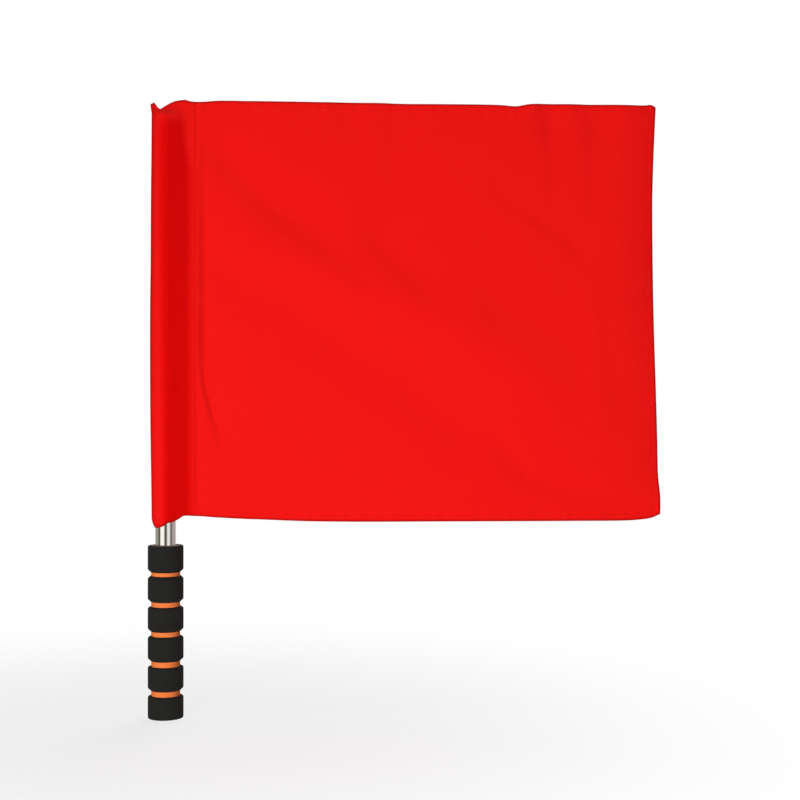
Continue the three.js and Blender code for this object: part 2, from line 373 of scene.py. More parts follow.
@dataclass(frozen=True)
class WrappedCloth(WovenCloth):
    """The same cloth folded round the tube. Painted shade darkens it over the steel and along the line of
    its left bend."""

    name: str = "wrapped_red_cloth"
    steel_top: float = 316 * MM
    # Painted shade: this tint darkens the cloth where the tube lies behind it, between the distances below.
    painted_steel_shade_tint: Colour = (0.85, 0.3, 0.3, 1.0)
    backed_from: float = 12 * MM
    lower_from: float = 4 * MM
    backed_to: float = 38.5 * MM
    upper_to: float = 6 * MM
    upper_below: float = 10 * MM
    upper_fade: float = 35 * MM
    blend: float = 4 * MM
    end_below: float = 2 * MM
    end_blend: float = 6 * MM
    # Painted shade along the left bend: this tint, over this width, widening upwards.
    painted_bend_shade_tint: Colour = grey(0.62)
    painted_bend_shade_width: float = 8 * MM
    painted_bend_shade_widening: float = 0.5
    widens_from: float = 130 * MM
    widens_to: float = 250 * MM

    def from_edge(self, x: Link, z: Link) -> Link:
        """The distance to the bottom or the top edge on the flat cut."""
        return z.smaller(self.hoist - z)

    def painted_backing_shade(self, graph: Graph, x: Link, z: Link, colour: Link) -> Link:
        """Painted shade: the cloth is darkened where steel lies behind, between two distances from the left
        bend, measured on the flat cut, up to the tube's upper end. Downwards the band starts further from the
        bend, and upwards it ends nearer to it. Painted shade also darkens the line of the bend, which widens
        upwards.

        Args:
            graph: takes the nodes.
            x: the place across the flat cut.
            z: the place up the flat cut.
            colour: the bare cloth's colour.

        Returns:
            The colour with both painted shades.
        """
        away = (x - self.width / 2).size()
        lower = 1.0 - z.ramp(0, self.hoist)
        started = (away - lower * self.lower_from - self.backed_from) / self.blend
        upper_at = self.steel_top - self.upper_below
        upper = z.ramp(upper_at - self.upper_fade, upper_at)
        ended = (away + upper * self.upper_to - self.backed_to) / self.blend
        end = self.steel_top - self.end_below
        above = z.ramp(end - self.end_blend, end + self.end_blend)
        # Painted shade over the tube: this mask darkens the cloth where steel lies behind.
        steel = (started.ramp(-1, 1) - ended.ramp(-1, 1)) * (1.0 - above)
        colour = graph.tinted(steel, colour, self.painted_steel_shade_tint)
        # Painted shade along the left bend, widening upwards.
        widening = z.ramp(self.widens_from, self.widens_to) * self.painted_bend_shade_widening + 1.0
        bend = 1.0 - (away / widening).ramp(0, self.painted_bend_shade_width)
        return graph.tinted(bend, colour, self.painted_bend_shade_tint)


@dataclass(frozen=True)
class SewingThread:
    """Twisted red polyester thread, a little deeper than the cloth."""

    name: str = "red_thread"
    lit: Colour = (0.85, 0.0075, 0.0065, 1.0)
    deep: Colour = (0.55, 0.0035, 0.0030, 1.0)
    twist: float = 0.25 * MM
    relief: float = 0.03 * MM

    def dress(self, graph: Graph) -> Mapping[str, Any]:
        """The fibres are noise at the size of the twist.

        Args:
            graph: takes the nodes.

        Returns:
            The inputs of the thread's shader.
        """
        place = graph.out(graph.node("TexCoord"), "Object")
        fibre = graph.noise(place, 1 / self.twist, 2.0)
        return {
            "Base Color": graph.mix(fibre.ramp(0.3, 0.7), self.deep, self.lit),
            "Roughness": 0.45 + fibre * 0.2,
            "Specular IOR Level": 0.15,
            "Normal": graph.bump(fibre, self.relief, 0.5),
        }


@dataclass(frozen=True)
class Foam:
    """Closed-cell grip foam: fine pores darkened by painted shade, a soft grain and dust in the pores."""

    name: str
    skin: Colour
    # Painted shade: the colour in the middles of the pores.
    painted_pore_shade: Colour
    dust: Colour
    # Painted grazing sheen and shade: the dull colour of the sleeve's top end, in place of its own.
    cut: Colour = (0.42, 0.33, 0.27, 1.0)
    painted_end_from: float = 1.0
    painted_end_blend: float = 0.2 * MM
    pore_size: float = 0.45 * MM
    pore_relief: float = 0.07 * MM
    grain_size: float = 2.2 * MM
    cloud_size: float = 14 * MM

    def dress(self, graph: Graph) -> Mapping[str, Any]:
        """Pores are the hollow middles of Voronoi cells, darkened as painted shade, and the grain is noise a
        few pores wide. Above a height the foam is painted a dull brown: painted grazing sheen and shade on an
        end.

        Args:
            graph: takes the nodes.

        Returns:
            The inputs of the foam's shader.
        """
        place = graph.out(graph.node("TexCoord"), "Object")
        height = graph.out(graph.node("SeparateXYZ", {}, {0: place}), "Z")
        cell = graph.node("TexVoronoi", {}, {"Vector": place, "Scale": 1 / self.pore_size})
        wall = graph.out(cell, "Distance").ramp(0.12, 0.55)
        grain = graph.noise(place, 1 / self.grain_size, 4.0)
        cloud = graph.noise(place, 1 / self.cloud_size, 2.0)
        # Painted shade in the pores' middles.
        colour = graph.mix(wall * 0.65 + grain * 0.35, self.painted_pore_shade, self.skin)
        # Painted grazing sheen and shade above a height, on the sleeve's top end.
        colour = graph.mix(height.ramp(self.painted_end_from, self.painted_end_from + self.painted_end_blend), colour, self.cut)
        worn = (cloud * 0.6 + grain * 0.4).ramp(0.5, 0.8)
        relief = wall * 0.7 + grain * 0.6
        return {
            "Base Color": graph.mix(worn * 0.35, colour, self.dust),
            "Roughness": 0.78 + grain * 0.2,
            "Specular IOR Level": 0.32,
            "Normal": graph.bump(relief, self.pore_relief, 0.8),
        }


@dataclass(frozen=True)
class PolishedSteel:
    """Polished stainless tube, with faint polishing lines round it and light scratches along it."""

    name: str = "polished_steel"
    bright: Colour = (0.80, 0.80, 0.79, 1.0)
    dull: Colour = (0.66, 0.66, 0.65, 1.0)
    line_width: float = 0.12 * MM
    cells_across: float = 30.0
    cells_along: float = 24.0
    smear_size: float = 9 * MM
    relief: float = 0.002 * MM

    def dress(self, graph: Graph) -> Mapping[str, Any]:
        """Both kinds of line are noise squeezed thin along one axis, with few cells a metre along the line.

        Args:
            graph: takes the nodes.

        Returns:
            The inputs of the steel's shader.
        """
        place = graph.out(graph.node("TexCoord"), "Object")
        thin = 1 / self.line_width
        rings = graph.noise(graph.stretched(place, (self.cells_across, self.cells_across, thin)), 1.0, 2.0)
        runs = graph.noise(graph.stretched(place, (thin * 0.7, thin * 0.7, self.cells_along)), 1.0, 3.0)
        smear = graph.noise(place, 1 / self.smear_size, 3.0)
        scratch = runs.ramp(0.66, 0.8)
        return {
            "Base Color": graph.mix(scratch * 0.5 + smear * 0.3, self.bright, self.dull),
            "Metallic": 1.0,
            "Roughness": 0.07 + rings * 0.05 + scratch * 0.12 + smear.ramp(0.45, 0.75) * 0.06,
            "Normal": graph.bump(rings * 0.4 + runs * 0.6, self.relief, 0.25),
        }


@dataclass(frozen=True)
class MouldedPlastic:
    """Black moulded plastic with a fine spark-eroded grain."""

    name: str = "moulded_plastic"
    face: Colour = (0.012, 0.012, 0.0125, 1.0)
    rubbed: Colour = (0.035, 0.035, 0.036, 1.0)
    grain_size: float = 0.3 * MM
    grain_relief: float = 0.02 * MM
    rub_size: float = 5 * MM

    def dress(self, graph: Graph) -> Mapping[str, Any]:
        """The grain is fine noise, and rubbed places are a slow noise.

        Args:
            graph: takes the nodes.

        Returns:
            The inputs of the plastic's shader.
        """
        place = graph.out(graph.node("TexCoord"), "Object")
        grain = graph.noise(place, 1 / self.grain_size, 2.0)
        rub = graph.noise(place, 1 / self.rub_size, 3.0).ramp(0.5, 0.72)
        return {
            "Base Color": graph.mix(rub * 0.6, self.face, self.rubbed),
            "Roughness": 0.42 + grain * 0.16 - rub * 0.08,
            "Normal": graph.bump(grain, self.grain_relief, 0.6),
        }


# Meshes


def grid_faces(rows: int, columns: int, round_rows: bool = False, round_columns: bool = False) -> np.ndarray:
    """The quads of a grid of points numbered row by row.

    Args:
        rows: number of rows of points.
        columns: number of points in a row.
        round_rows: the last row joins the first.
        round_columns: the last column joins the first.

    Returns:
        Whole numbers of shape (faces, 4). A face turns from its column to the next, then to the next row.
    """
    i = np.arange(columns if round_columns else columns - 1)
    j = np.arange(rows if round_rows else rows - 1)[:, None]
    right, above = (i + 1) % columns, (j + 1) % rows
    corners = (j * columns + i, j * columns + right, above * columns + right, above * columns + i)
    return np.stack(corners, axis=-1).reshape(-1, 4)


def mesh_object(
    name: str, points: np.ndarray, faces: Iterable[Sequence[int]], crease: float = 180
) -> bpy.types.Object:
    """Makes a smooth-shaded mesh object at the origin.

    Args:
        name: the object's name.
        points: places of shape (..., 3).
        faces: each face's points, turning anticlockwise seen from outside.
        crease: edges that bend by more degrees than this stay sharp.

    Returns:
        The object, linked to the scene.
    """
    mesh = bpy.data.meshes.new(name)
    mesh.from_pydata(points.reshape(-1, 3).tolist(), [], [tuple(face) for face in faces])
    mesh.polygons.foreach_set("use_smooth", np.ones(len(mesh.polygons), bool))
    mesh.set_sharp_from_angle(angle=math.radians(crease))
    mesh.update()
    made = bpy.data.objects.new(name, mesh)
    bpy.context.scene.collection.objects.link(made)
    return made


def rounded(corners: Profile, cuts: Sequence[float], steps: int = 5, longest: float = 3 * MM) -> np.ndarray:
    """Rounds the corners of a closed outline. A corner with a cut starts to bend that far before it and
    follows a quadratic curve to the same distance after it. Long straight runs get points between, the
    first and last of them close to the bends, which keeps the shading flat there.

    Args:
        corners: the outline's corners.
        cuts: how far from each corner its bend starts, 0 for a sharp one.
        steps: spans in a bend.
        longest: no straight span is longer than this.

    Returns:
        The outline's points, of shape (points, 2).
    """
    places = np.array(corners, float)
    ends = []
    for k, (corner, cut) in enumerate(zip(places, cuts)):
        before, after = places[k - 1] - corner, places[(k + 1) % len(places)] - corner
        start = corner + before / np.linalg.norm(before) * cut
        stop = corner + after / np.linalg.norm(after) * cut
        t = np.linspace(0, 1, steps + 1)[:, None]
        ends.append((1 - t) ** 2 * start + 2 * t * (1 - t) * corner + t * t * stop if cut else corner[None])
    outline = []
    for k, bend in enumerate(ends):
        outline.append(bend)
        start, stop = bend[-1], ends[(k + 1) % len(ends)][0]
        gap = float(np.linalg.norm(stop - start))
        near = min(NEAR_BEND, gap / 4)
        count = max(int(math.ceil((gap - 2 * near) / longest)), 1)
        t = np.concatenate([[near / gap], np.linspace(near / gap, 1 - near / gap, count + 1)[1:]])
        outline.append(start + (stop - start) * t[:, None])
    return np.concatenate(outline)


def turned(
    name: str,
    profile: np.ndarray,
    segments: int,
    unevenness: Unevenness | None = None,
    crease: float = 180,
) -> bpy.types.Object:
    """Turns a closed profile about the Z axis: a point is (r cos f, r sin f, z).

    Args:
        name: the object's name.
        profile: points (radius, height), anticlockwise with the radius to the right.
        segments: how many steps go round.
        unevenness: changes radius and height by radius, height and angle, as cut foam is uneven.
        crease: edges that bend by more degrees than this stay sharp.

    Returns:
        The object.
    """
    angle = np.arange(segments) * (2 * math.pi / segments)
    radius = np.repeat(profile[:, :1], segments, axis=1)
    height = np.repeat(profile[:, 1:], segments, axis=1)
    if unevenness:
        radius, height = unevenness(radius, height, np.broadcast_to(angle, radius.shape))
    points = np.stack([radius * np.cos(angle), radius * np.sin(angle), height], axis=-1)
    return mesh_object(name, points, grid_faces(*radius.shape, True, True), crease)


def along_steps(*stretches: tuple[float, float, int]) -> np.ndarray:
    """Rising places made of stretches of (start, end, spans), each starting where the one before ends."""
    runs = [np.linspace(start, end, spans + 1) for start, end, spans in stretches]
    return np.concatenate([runs[0], *(run[1:] for run in runs[1:])])


def smooth_step(value: np.ndarray) -> np.ndarray:
    """3t^2 - 2t^3 for t from 0 to 1, level beyond."""
    share = np.clip(value, 0, 1)
    return share * share * (3 - 2 * share)


def curve_through(rows: Profile, place: np.ndarray) -> np.ndarray:
    """A smooth curve through rows of (place, value): cubic pieces with the slopes of the chords.

    Args:
        rows: the rows, in rising order of place.
        place: where the curve is read.

    Returns:
        The curve's values.
    """
    table = np.array(rows)
    x, y = table[:, 0], table[:, 1]
    last = len(x) - 1
    ends = np.arange(len(x))
    after, before = np.minimum(ends + 1, last), np.maximum(ends - 1, 0)
    slope = (y[after] - y[before]) / (x[after] - x[before])
    i = np.clip(np.searchsorted(x, place, side="left") - 1, 0, last - 1)
    span, rise = x[i + 1] - x[i], y[i + 1] - y[i]
    t = np.clip((place - x[i]) / span, 0, 1)
    bend = t * (1 - t) * ((1 - t) * (slope[i] * span - rise) - t * (slope[i + 1] * span - rise))
    return y[i] + rise * t + bend


# Cloth


@dataclass(frozen=True)
class Fold:
    """A soft fold of the panel: a bell across a line of straight runs.

    Each point of the line holds shares across and up the panel, and how many millimetres the fold stands
    out of the front there, negative where it sinks in. The widths say how far from its line it falls to
    1/e, on the right and on the left of someone who walks along the line.
    """

    line: Sequence[tuple[float, float, float]]
    right_width: float
    left_width: float


class ClothShell:
    """A cloth with two faces round a middle surface, which is a function of two parameters."""

    UV_LAYER = "Weave"

    def middle(self, a: np.ndarray, b: np.ndarray) -> np.ndarray:
        """The middle surface at two parameters, of shape (..., 3)."""
        raise NotImplementedError

    def halves(self, a: np.ndarray, b: np.ndarray) -> tuple[np.ndarray, np.ndarray]:
        """How far the outer and the inner face lie from the middle surface."""
        raise NotImplementedError

    def flat_place(self, a: np.ndarray, b: np.ndarray) -> np.ndarray:
        """The place on the flat cut, of shape (..., 2), which the weave follows."""
        raise NotImplementedError

    def normal(self, a: np.ndarray, b: np.ndarray, step: float = 2e-4) -> np.ndarray:
        """The unit normal of the middle surface: the cross product of its two slopes, by differences.

        Args:
            a: the first parameter.
            b: the second parameter.
            step: how far the differences reach each way.

        Returns:
            Normals of shape (..., 3).
        """
        along = self.middle(a + step, b) - self.middle(a - step, b)
        up = self.middle(a, b + step) - self.middle(a, b - step)
        cross = np.cross(along, up)
        return cross / np.maximum(np.linalg.norm(cross, axis=-1, keepdims=True), 1e-15)

    def on_face(self, a: np.ndarray, b: np.ndarray, side: Side) -> tuple[np.ndarray, np.ndarray]:
        """Points on one face: the middle surface, moved along its normal.

        Args:
            a: the first parameter.
            b: the second parameter.
            side: the face.

        Returns:
            The points, and the normals that point out of the face, each of shape (..., 3).
        """
        outer, inner = self.halves(a, b)
        normal = self.normal(a, b) * side.value
        reach = outer if side is Side.OUTER else inner
        return self.middle(a, b) + normal * reach[..., None], normal

    def build(self, name: str, columns: np.ndarray, rows: np.ndarray) -> bpy.types.Object:
        """Makes the closed mesh: both faces on one grid, and a rim that joins them.

        Args:
            name: the object's name.
            columns: the first parameter at each column.
            rows: the second parameter at each row.

        Returns:
            The object, with the flat cut as its UV map.
        """
        a, b = np.meshgrid(columns, rows)
        points = np.stack([self.on_face(a, b, side)[0] for side in Side])
        outer = grid_faces(len(rows), len(columns))
        inner = outer[:, ::-1] + a.size
        numbers = np.arange(a.size).reshape(a.shape)
        loop = np.concatenate([numbers[0, :-1], numbers[:-1, -1], numbers[-1, :0:-1], numbers[:0:-1, 0]])
        after = np.roll(loop, -1)
        rim = np.stack([loop, loop + a.size, after + a.size, after], axis=-1)
        faces = np.concatenate([outer, inner, rim])
        made = mesh_object(name, points, faces.tolist())
        flat = np.tile(self.flat_place(a, b).reshape(-1, 2), (2, 1))
        layer = made.data.uv_layers.new(name=self.UV_LAYER)
        corner = np.zeros(len(made.data.loops), np.int32)
        made.data.loops.foreach_get("vertex_index", corner)
        layer.data.foreach_set("uv", flat[corner].astype(np.float32).ravel())
        return made


@dataclass
class Panel(ClothShell):
    """The flag's panel. Its parameters are the shares across, from hoist to fly, and up.

    A point is (hoist edge + across * width, -relief, low + (high - low) * up), where the edges stray
    from straight lines by the tables below, given in shares of edge_wave.
    """

    bottom: float = 154.8 * MM
    hoist: float = 329.6 * MM
    hoist_edge: float = 18.5 * MM
    width: float = 367.6 * MM
    tuck: float = 5.5 * MM
    cloth: float = 0.5 * MM
    edge_wave: float = 5 * MM
    fold_lead: float = 24 * MM
    crease_lead: float = 7 * MM
    crease_end: float = 25 * MM
    fly_curl: float = 4.7 * MM
    fly_curl_width: float = 30 * MM
    top_curl: float = 1.1 * MM
    top_curl_width: float = 4.5 * MM
    hem_width: float = 6 * MM
    hem_fold: float = 0.4 * MM
    hem_step: float = 0.4 * MM
    hem_start: float = 1.5 * MM
    hem_roll: float = 1.3 * MM
    stitch_line: float = 4.8 * MM
    stitch_dent: float = 0.12 * MM
    dent_width: float = 0.6 * MM
    pucker: float = 0.16 * MM
    pucker_fade: float = 5 * MM
    pucker_waves: Sequence[tuple[float, float]] = ((1.45 * MM, 1.0), (2.3 * MM, 0.8), (4.1 * MM, 0.9))
    pucker_phases: tuple[float, float, float] = (0.0, 1.9, 4.1)
    thinnest: float = 0.12
    spans_across: int = 186
    spans_up: int = 148
    top_shares: Profile = (
        (0, 0.3), (0.03, 0.36), (0.065, 0.57), (0.12, 0.53), (0.24, 0.41), (0.37, 0.25), (0.41, 0.21),
        (0.45, 0.1), (0.56, 0.02), (0.635, -0.04), (0.67, -0.13), (0.7, -0.3), (0.73, 0.05), (0.77, 0.11),
        (0.89, 0), (0.95, -0.1), (0.976, -0.12), (0.99, 0), (1, -0.36),
    )
    bottom_shares: Profile = (
        (0, 0.86), (0.025, 0.79), (0.055, 0.62), (0.12, 0.36), (0.152, 0.29), (0.216, 0.09), (0.27, -0.02),
        (0.38, -0.08), (0.5, -0.04), (0.66, 0), (0.83, 0.06), (0.93, 0.13), (0.969, 0.37), (0.982, 0.57),
        (0.99, 0.8), (1, 1.15),
    )
    fly_shares: Profile = (
        (0, 0.94), (0.022, 0.97), (0.051, 0.92), (0.08, 0.69), (0.108, 0.56), (0.17, 0.49), (0.29, 0.31),
        (0.43, 0.06), (0.58, -0.11), (0.77, -0.22), (0.87, -0.06), (0.97, 0.2), (1, 0.3),
    )
    fly_curl_shares: Profile = (
        (0, 0.35), (0.2, 0.45), (0.35, 0.6), (0.5, 0.9), (0.6, 1), (0.72, 0.9), (0.85, 0.8), (1, 0.7),
    )
    folds: Sequence[Fold] = (
        Fold(
            (
                (0.15, 0.66, 3.4), (0.27, 0.61, 4), (0.4, 0.555, 4.4), (0.51, 0.505, 4.4), (0.68, 0.4, 3.8),
                (0.93, 0.16, 1.2),
            ),
            28 * MM,
            26 * MM,
        ),
        Fold(
            ((0.066, 0.866, -2.6), (0.163, 0.76, -3.4), (0.27, 0.68, -2.8), (0.38, 0.58, -1.8)),
            11 * MM,
            22 * MM,
        ),
        Fold(((0.41, 0.674, -2), (0.46, 0.61, -2.3), (0.53, 0.53, -1.5)), 10 * MM, 20 * MM),
        Fold(
            (
                (0.12, 0.56, -2.6), (0.25, 0.49, -3.3), (0.36, 0.39, -3.6), (0.47, 0.32, -3.6),
                (0.6, 0.21, -3.2),
            ),
            22 * MM,
            22 * MM,
        ),
        Fold(
            ((0.66, 0.19, -1.8), (0.72, 0.11, -2.4), (0.818, 0.075, -2), (0.94, 0.04, -1.4)),
            10 * MM,
            16 * MM,
        ),
        Fold(((0.775, 1, -1.9), (0.775, 0.95, -1.5)), 9 * MM, 17 * MM),
        Fold(((0.77, 0.95, -0.8), (0.785, 0.81, -0.9), (0.79, 0.74, -0.4)), 5 * MM, 15 * MM),
        Fold(((0.858, 1, -2.6), (0.87, 0.95, -1.8)), 11 * MM, 20 * MM),
        Fold(((0.867, 0.93, -0.8), (0.872, 0.77, -0.7)), 5 * MM, 15 * MM),
        Fold(((0.862, 0.54, 0.8), (0.872, 0.38, 1), (0.885, 0.25, 0.8)), 10 * MM, 9 * MM),
        Fold(
            ((0.678, 0.78, -0.7), (0.75, 0.725, -1.5), (0.818, 0.673, -1.5), (0.85, 0.63, -0.8)),
            6 * MM,
            15 * MM,
        ),
        Fold(((0.443, 0.96, -1), (0.445, 0.77, -0.8)), 9 * MM, 24 * MM),
        Fold(((0.335, 0.98, -0.8), (0.335, 0.95, -0.7)), 8 * MM, 18 * MM),
        Fold(((0.645, 0.67, -0.5), (0.655, 0.5, -0.7)), 9 * MM, 18 * MM),
    )
    creases: Sequence[Fold] = (
        Fold(
            (
                (0.016, 0.45, -1.6), (0.032, 0.33, -2.4), (0.052, 0.242, -2.4), (0.068, 0.183, -1),
                (0.073, 0.16, 0),
            ),
            3 * MM,
            24 * MM,
        ),
        Fold(((0.036, 0.87, -1), (0.03, 0.6, -2.8), (0.028, 0.44, -1.7)), 8 * MM, 32 * MM),
    )

    def relief(self, across: np.ndarray, up: np.ndarray) -> np.ndarray:
        """How far the panel stands out of the front: its folds, less the curls of the fly and the top, which
        are squares of the share of their width. All of it grows from nothing beside the pocket.

        Args:
            across: shares of the width.
            up: shares of the height.

        Returns:
            Distances out of the front.
        """
        past = across * self.width - self.tuck
        _, from_top, from_fly = self._edges(across, up)
        curl = self.fly_curl * curve_through(self.fly_curl_shares, up)
        curl = curl * np.maximum(1 - from_fly / self.fly_curl_width, 0) ** 2
        curl = curl + self.top_curl * np.maximum(1 - from_top / self.top_curl_width, 0) ** 2
        large = self._bells(self.folds, across, up) - curl
        small = self._bells(self.creases, across, up) + self._puckers(across, up)
        return large * smooth_step(past / self.fold_lead) + small * smooth_step(past / self.crease_lead)

    def _bells(self, folds: Sequence[Fold], across: np.ndarray, up: np.ndarray) -> np.ndarray:
        """The sum of the folds: each is depth * exp(-(distance to its line / width)^2).

        The depth runs straight from point to point of the line, and the width passes from the left one to
        the right one with the sine of the angle to the nearest run.

        Args:
            folds: the folds.
            across: shares of the width.
            up: shares of the height.

        Returns:
            Distances out of the front.
        """
        x, z = across * self.width, up * self.hoist
        total = np.zeros(np.shape(x))
        for fold in folds:
            nearest = np.full(np.shape(x), np.inf)
            side, depth = np.zeros(np.shape(x)), np.zeros(np.shape(x))
            places = np.array(fold.line) * (self.width, self.hoist, MM)
            for (x0, z0, depth0), (x1, z1, depth1) in zip(places[:-1], places[1:]):
                run_x, run_z = x1 - x0, z1 - z0
                t = np.clip(((x - x0) * run_x + (z - z0) * run_z) / (run_x**2 + run_z**2), 0, 1)
                away = np.hypot(x - x0 - run_x * t, z - z0 - run_z * t)
                left = ((z - z0) * run_x - (x - x0) * run_z) / math.hypot(run_x, run_z)
                nearer = away < nearest
                side = np.where(nearer, left / np.maximum(away, 1e-9), side)
                depth = np.where(nearer, depth0 + (depth1 - depth0) * t, depth)
                nearest = np.minimum(away, nearest)
            half_way = (fold.left_width + fold.right_width) / 2
            width = half_way + side.clip(-1, 1) * (fold.left_width - fold.right_width) / 2
            total = total + depth * np.exp(-((nearest / width) ** 2))
        return total

    def _edges(self, across: np.ndarray, up: np.ndarray) -> tuple[np.ndarray, np.ndarray, np.ndarray]:
        """Distances to the bottom, the top and the fly edge, measured on the flat cut."""
        return up * self.hoist, (1 - up) * self.hoist, (1 - across) * self.width

    def _puckers(self, across: np.ndarray, up: np.ndarray) -> np.ndarray:
        """Short ripples that the stitching draws up along the hems: sines of three lengths, which fade
        with the distance from the stitch line.

        Args:
            across: shares of the width.
            up: shares of the height.

        Returns:
            Distances out of the front.
        """
        x, z = across * self.width, up * self.hoist
        total = np.zeros(np.shape(x))
        for edge, place, phase in zip(self._edges(across, up), (x, x, z), self.pucker_phases):
            fade = np.exp(-(((edge - self.stitch_line) / self.pucker_fade) ** 2))
            for turn, (length, share) in enumerate(self.pucker_waves, 1):
                total = total + self.pucker * share * fade * np.sin(place / length + turn * phase)
        return total

    def middle(self, a: np.ndarray, b: np.ndarray) -> np.ndarray:
        """The panel's middle surface, as the class says.

        Args:
            a: shares of the width.
            b: shares of the height.

        Returns:
            Points of shape (..., 3).
        """
        low = self.bottom + self.edge_wave * curve_through(self.bottom_shares, a)
        high = self.bottom + self.hoist + self.edge_wave * curve_through(self.top_shares, a)
        x = self.hoist_edge + a * (self.width + self.edge_wave * curve_through(self.fly_shares, b))
        return np.stack([x, -self.relief(a, b), low + (high - low) * b], axis=-1)

    def halves(self, a: np.ndarray, b: np.ndarray) -> tuple[np.ndarray, np.ndarray]:
        """Half the cloth each way. Past the pocket the hem adds its fold to the back, its edge is rolled
        as half an ellipse, and the stitch line presses both faces in.

        Args:
            a: shares of the width.
            b: shares of the height.

        Returns:
            How far the outer and the inner face lie from the middle surface.
        """
        from_edge = np.minimum.reduce(self._edges(a, b))
        fold = self.hem_fold * (1 - smooth_step((from_edge - self.hem_width) / self.hem_step))
        fold = fold * smooth_step((a * self.width - self.tuck) / self.hem_start)
        q = np.clip(1 - from_edge / self.hem_roll, 0, 1)
        roll = np.maximum(np.sqrt(1 - q * q), self.thinnest)
        thick = (self.cloth + fold) / 2 * roll
        dent = self.stitch_dent * np.exp(-(((from_edge - self.stitch_line) / self.dent_width) ** 2))
        return thick - fold / 2 - dent, thick + fold / 2 - dent

    def flat_place(self, a: np.ndarray, b: np.ndarray) -> np.ndarray:
        """The flat cut is the plain rectangle."""
        return np.stack([a * self.width, b * self.hoist], axis=-1)

    def hem_places(self, length: float, spans: int, free_start: bool) -> np.ndarray:
        """Places along one side: close together in the hems, closest at the rolled edges, and close beside
        the pocket, where a crease stands.

        Args:
            length: the side's length.
            spans: how many spans lie between the two ends' close ones.
            free_start: the side starts at a free edge and not beside the pocket.

        Returns:
            The places as shares of the length.
        """
        roll = self.hem_roll * (1 - np.cos(np.linspace(0, math.pi / 2, 8)))
        dent_from, dent_to = self.stitch_line - 2 * self.dent_width, self.stitch_line + 1.5 * self.dent_width
        hem = along_steps(
            (self.hem_roll, dent_from, 3),
            (dent_from, dent_to, 7),
            (dent_to, self.hem_width + 1.25 * self.hem_step, 4),
        )
        edge = np.concatenate([roll, hem[1:]])
        end = length - edge[::-1]
        beside = along_steps((0, self.tuck, 2), (self.tuck, self.crease_end, 38))
        start = edge if free_start else beside
        middle = np.linspace(start[-1], end[0], spans + 1)[1:-1]
        return np.concatenate([start, middle, end]) / length

    def made(self) -> bpy.types.Object:
        """Builds the panel.

        Returns:
            The panel.
        """
        columns = self.hem_places(self.width, self.spans_across, False)
        rows = self.hem_places(self.hoist, self.spans_up, True)
        return self.build("panel_cloth", columns, rows)


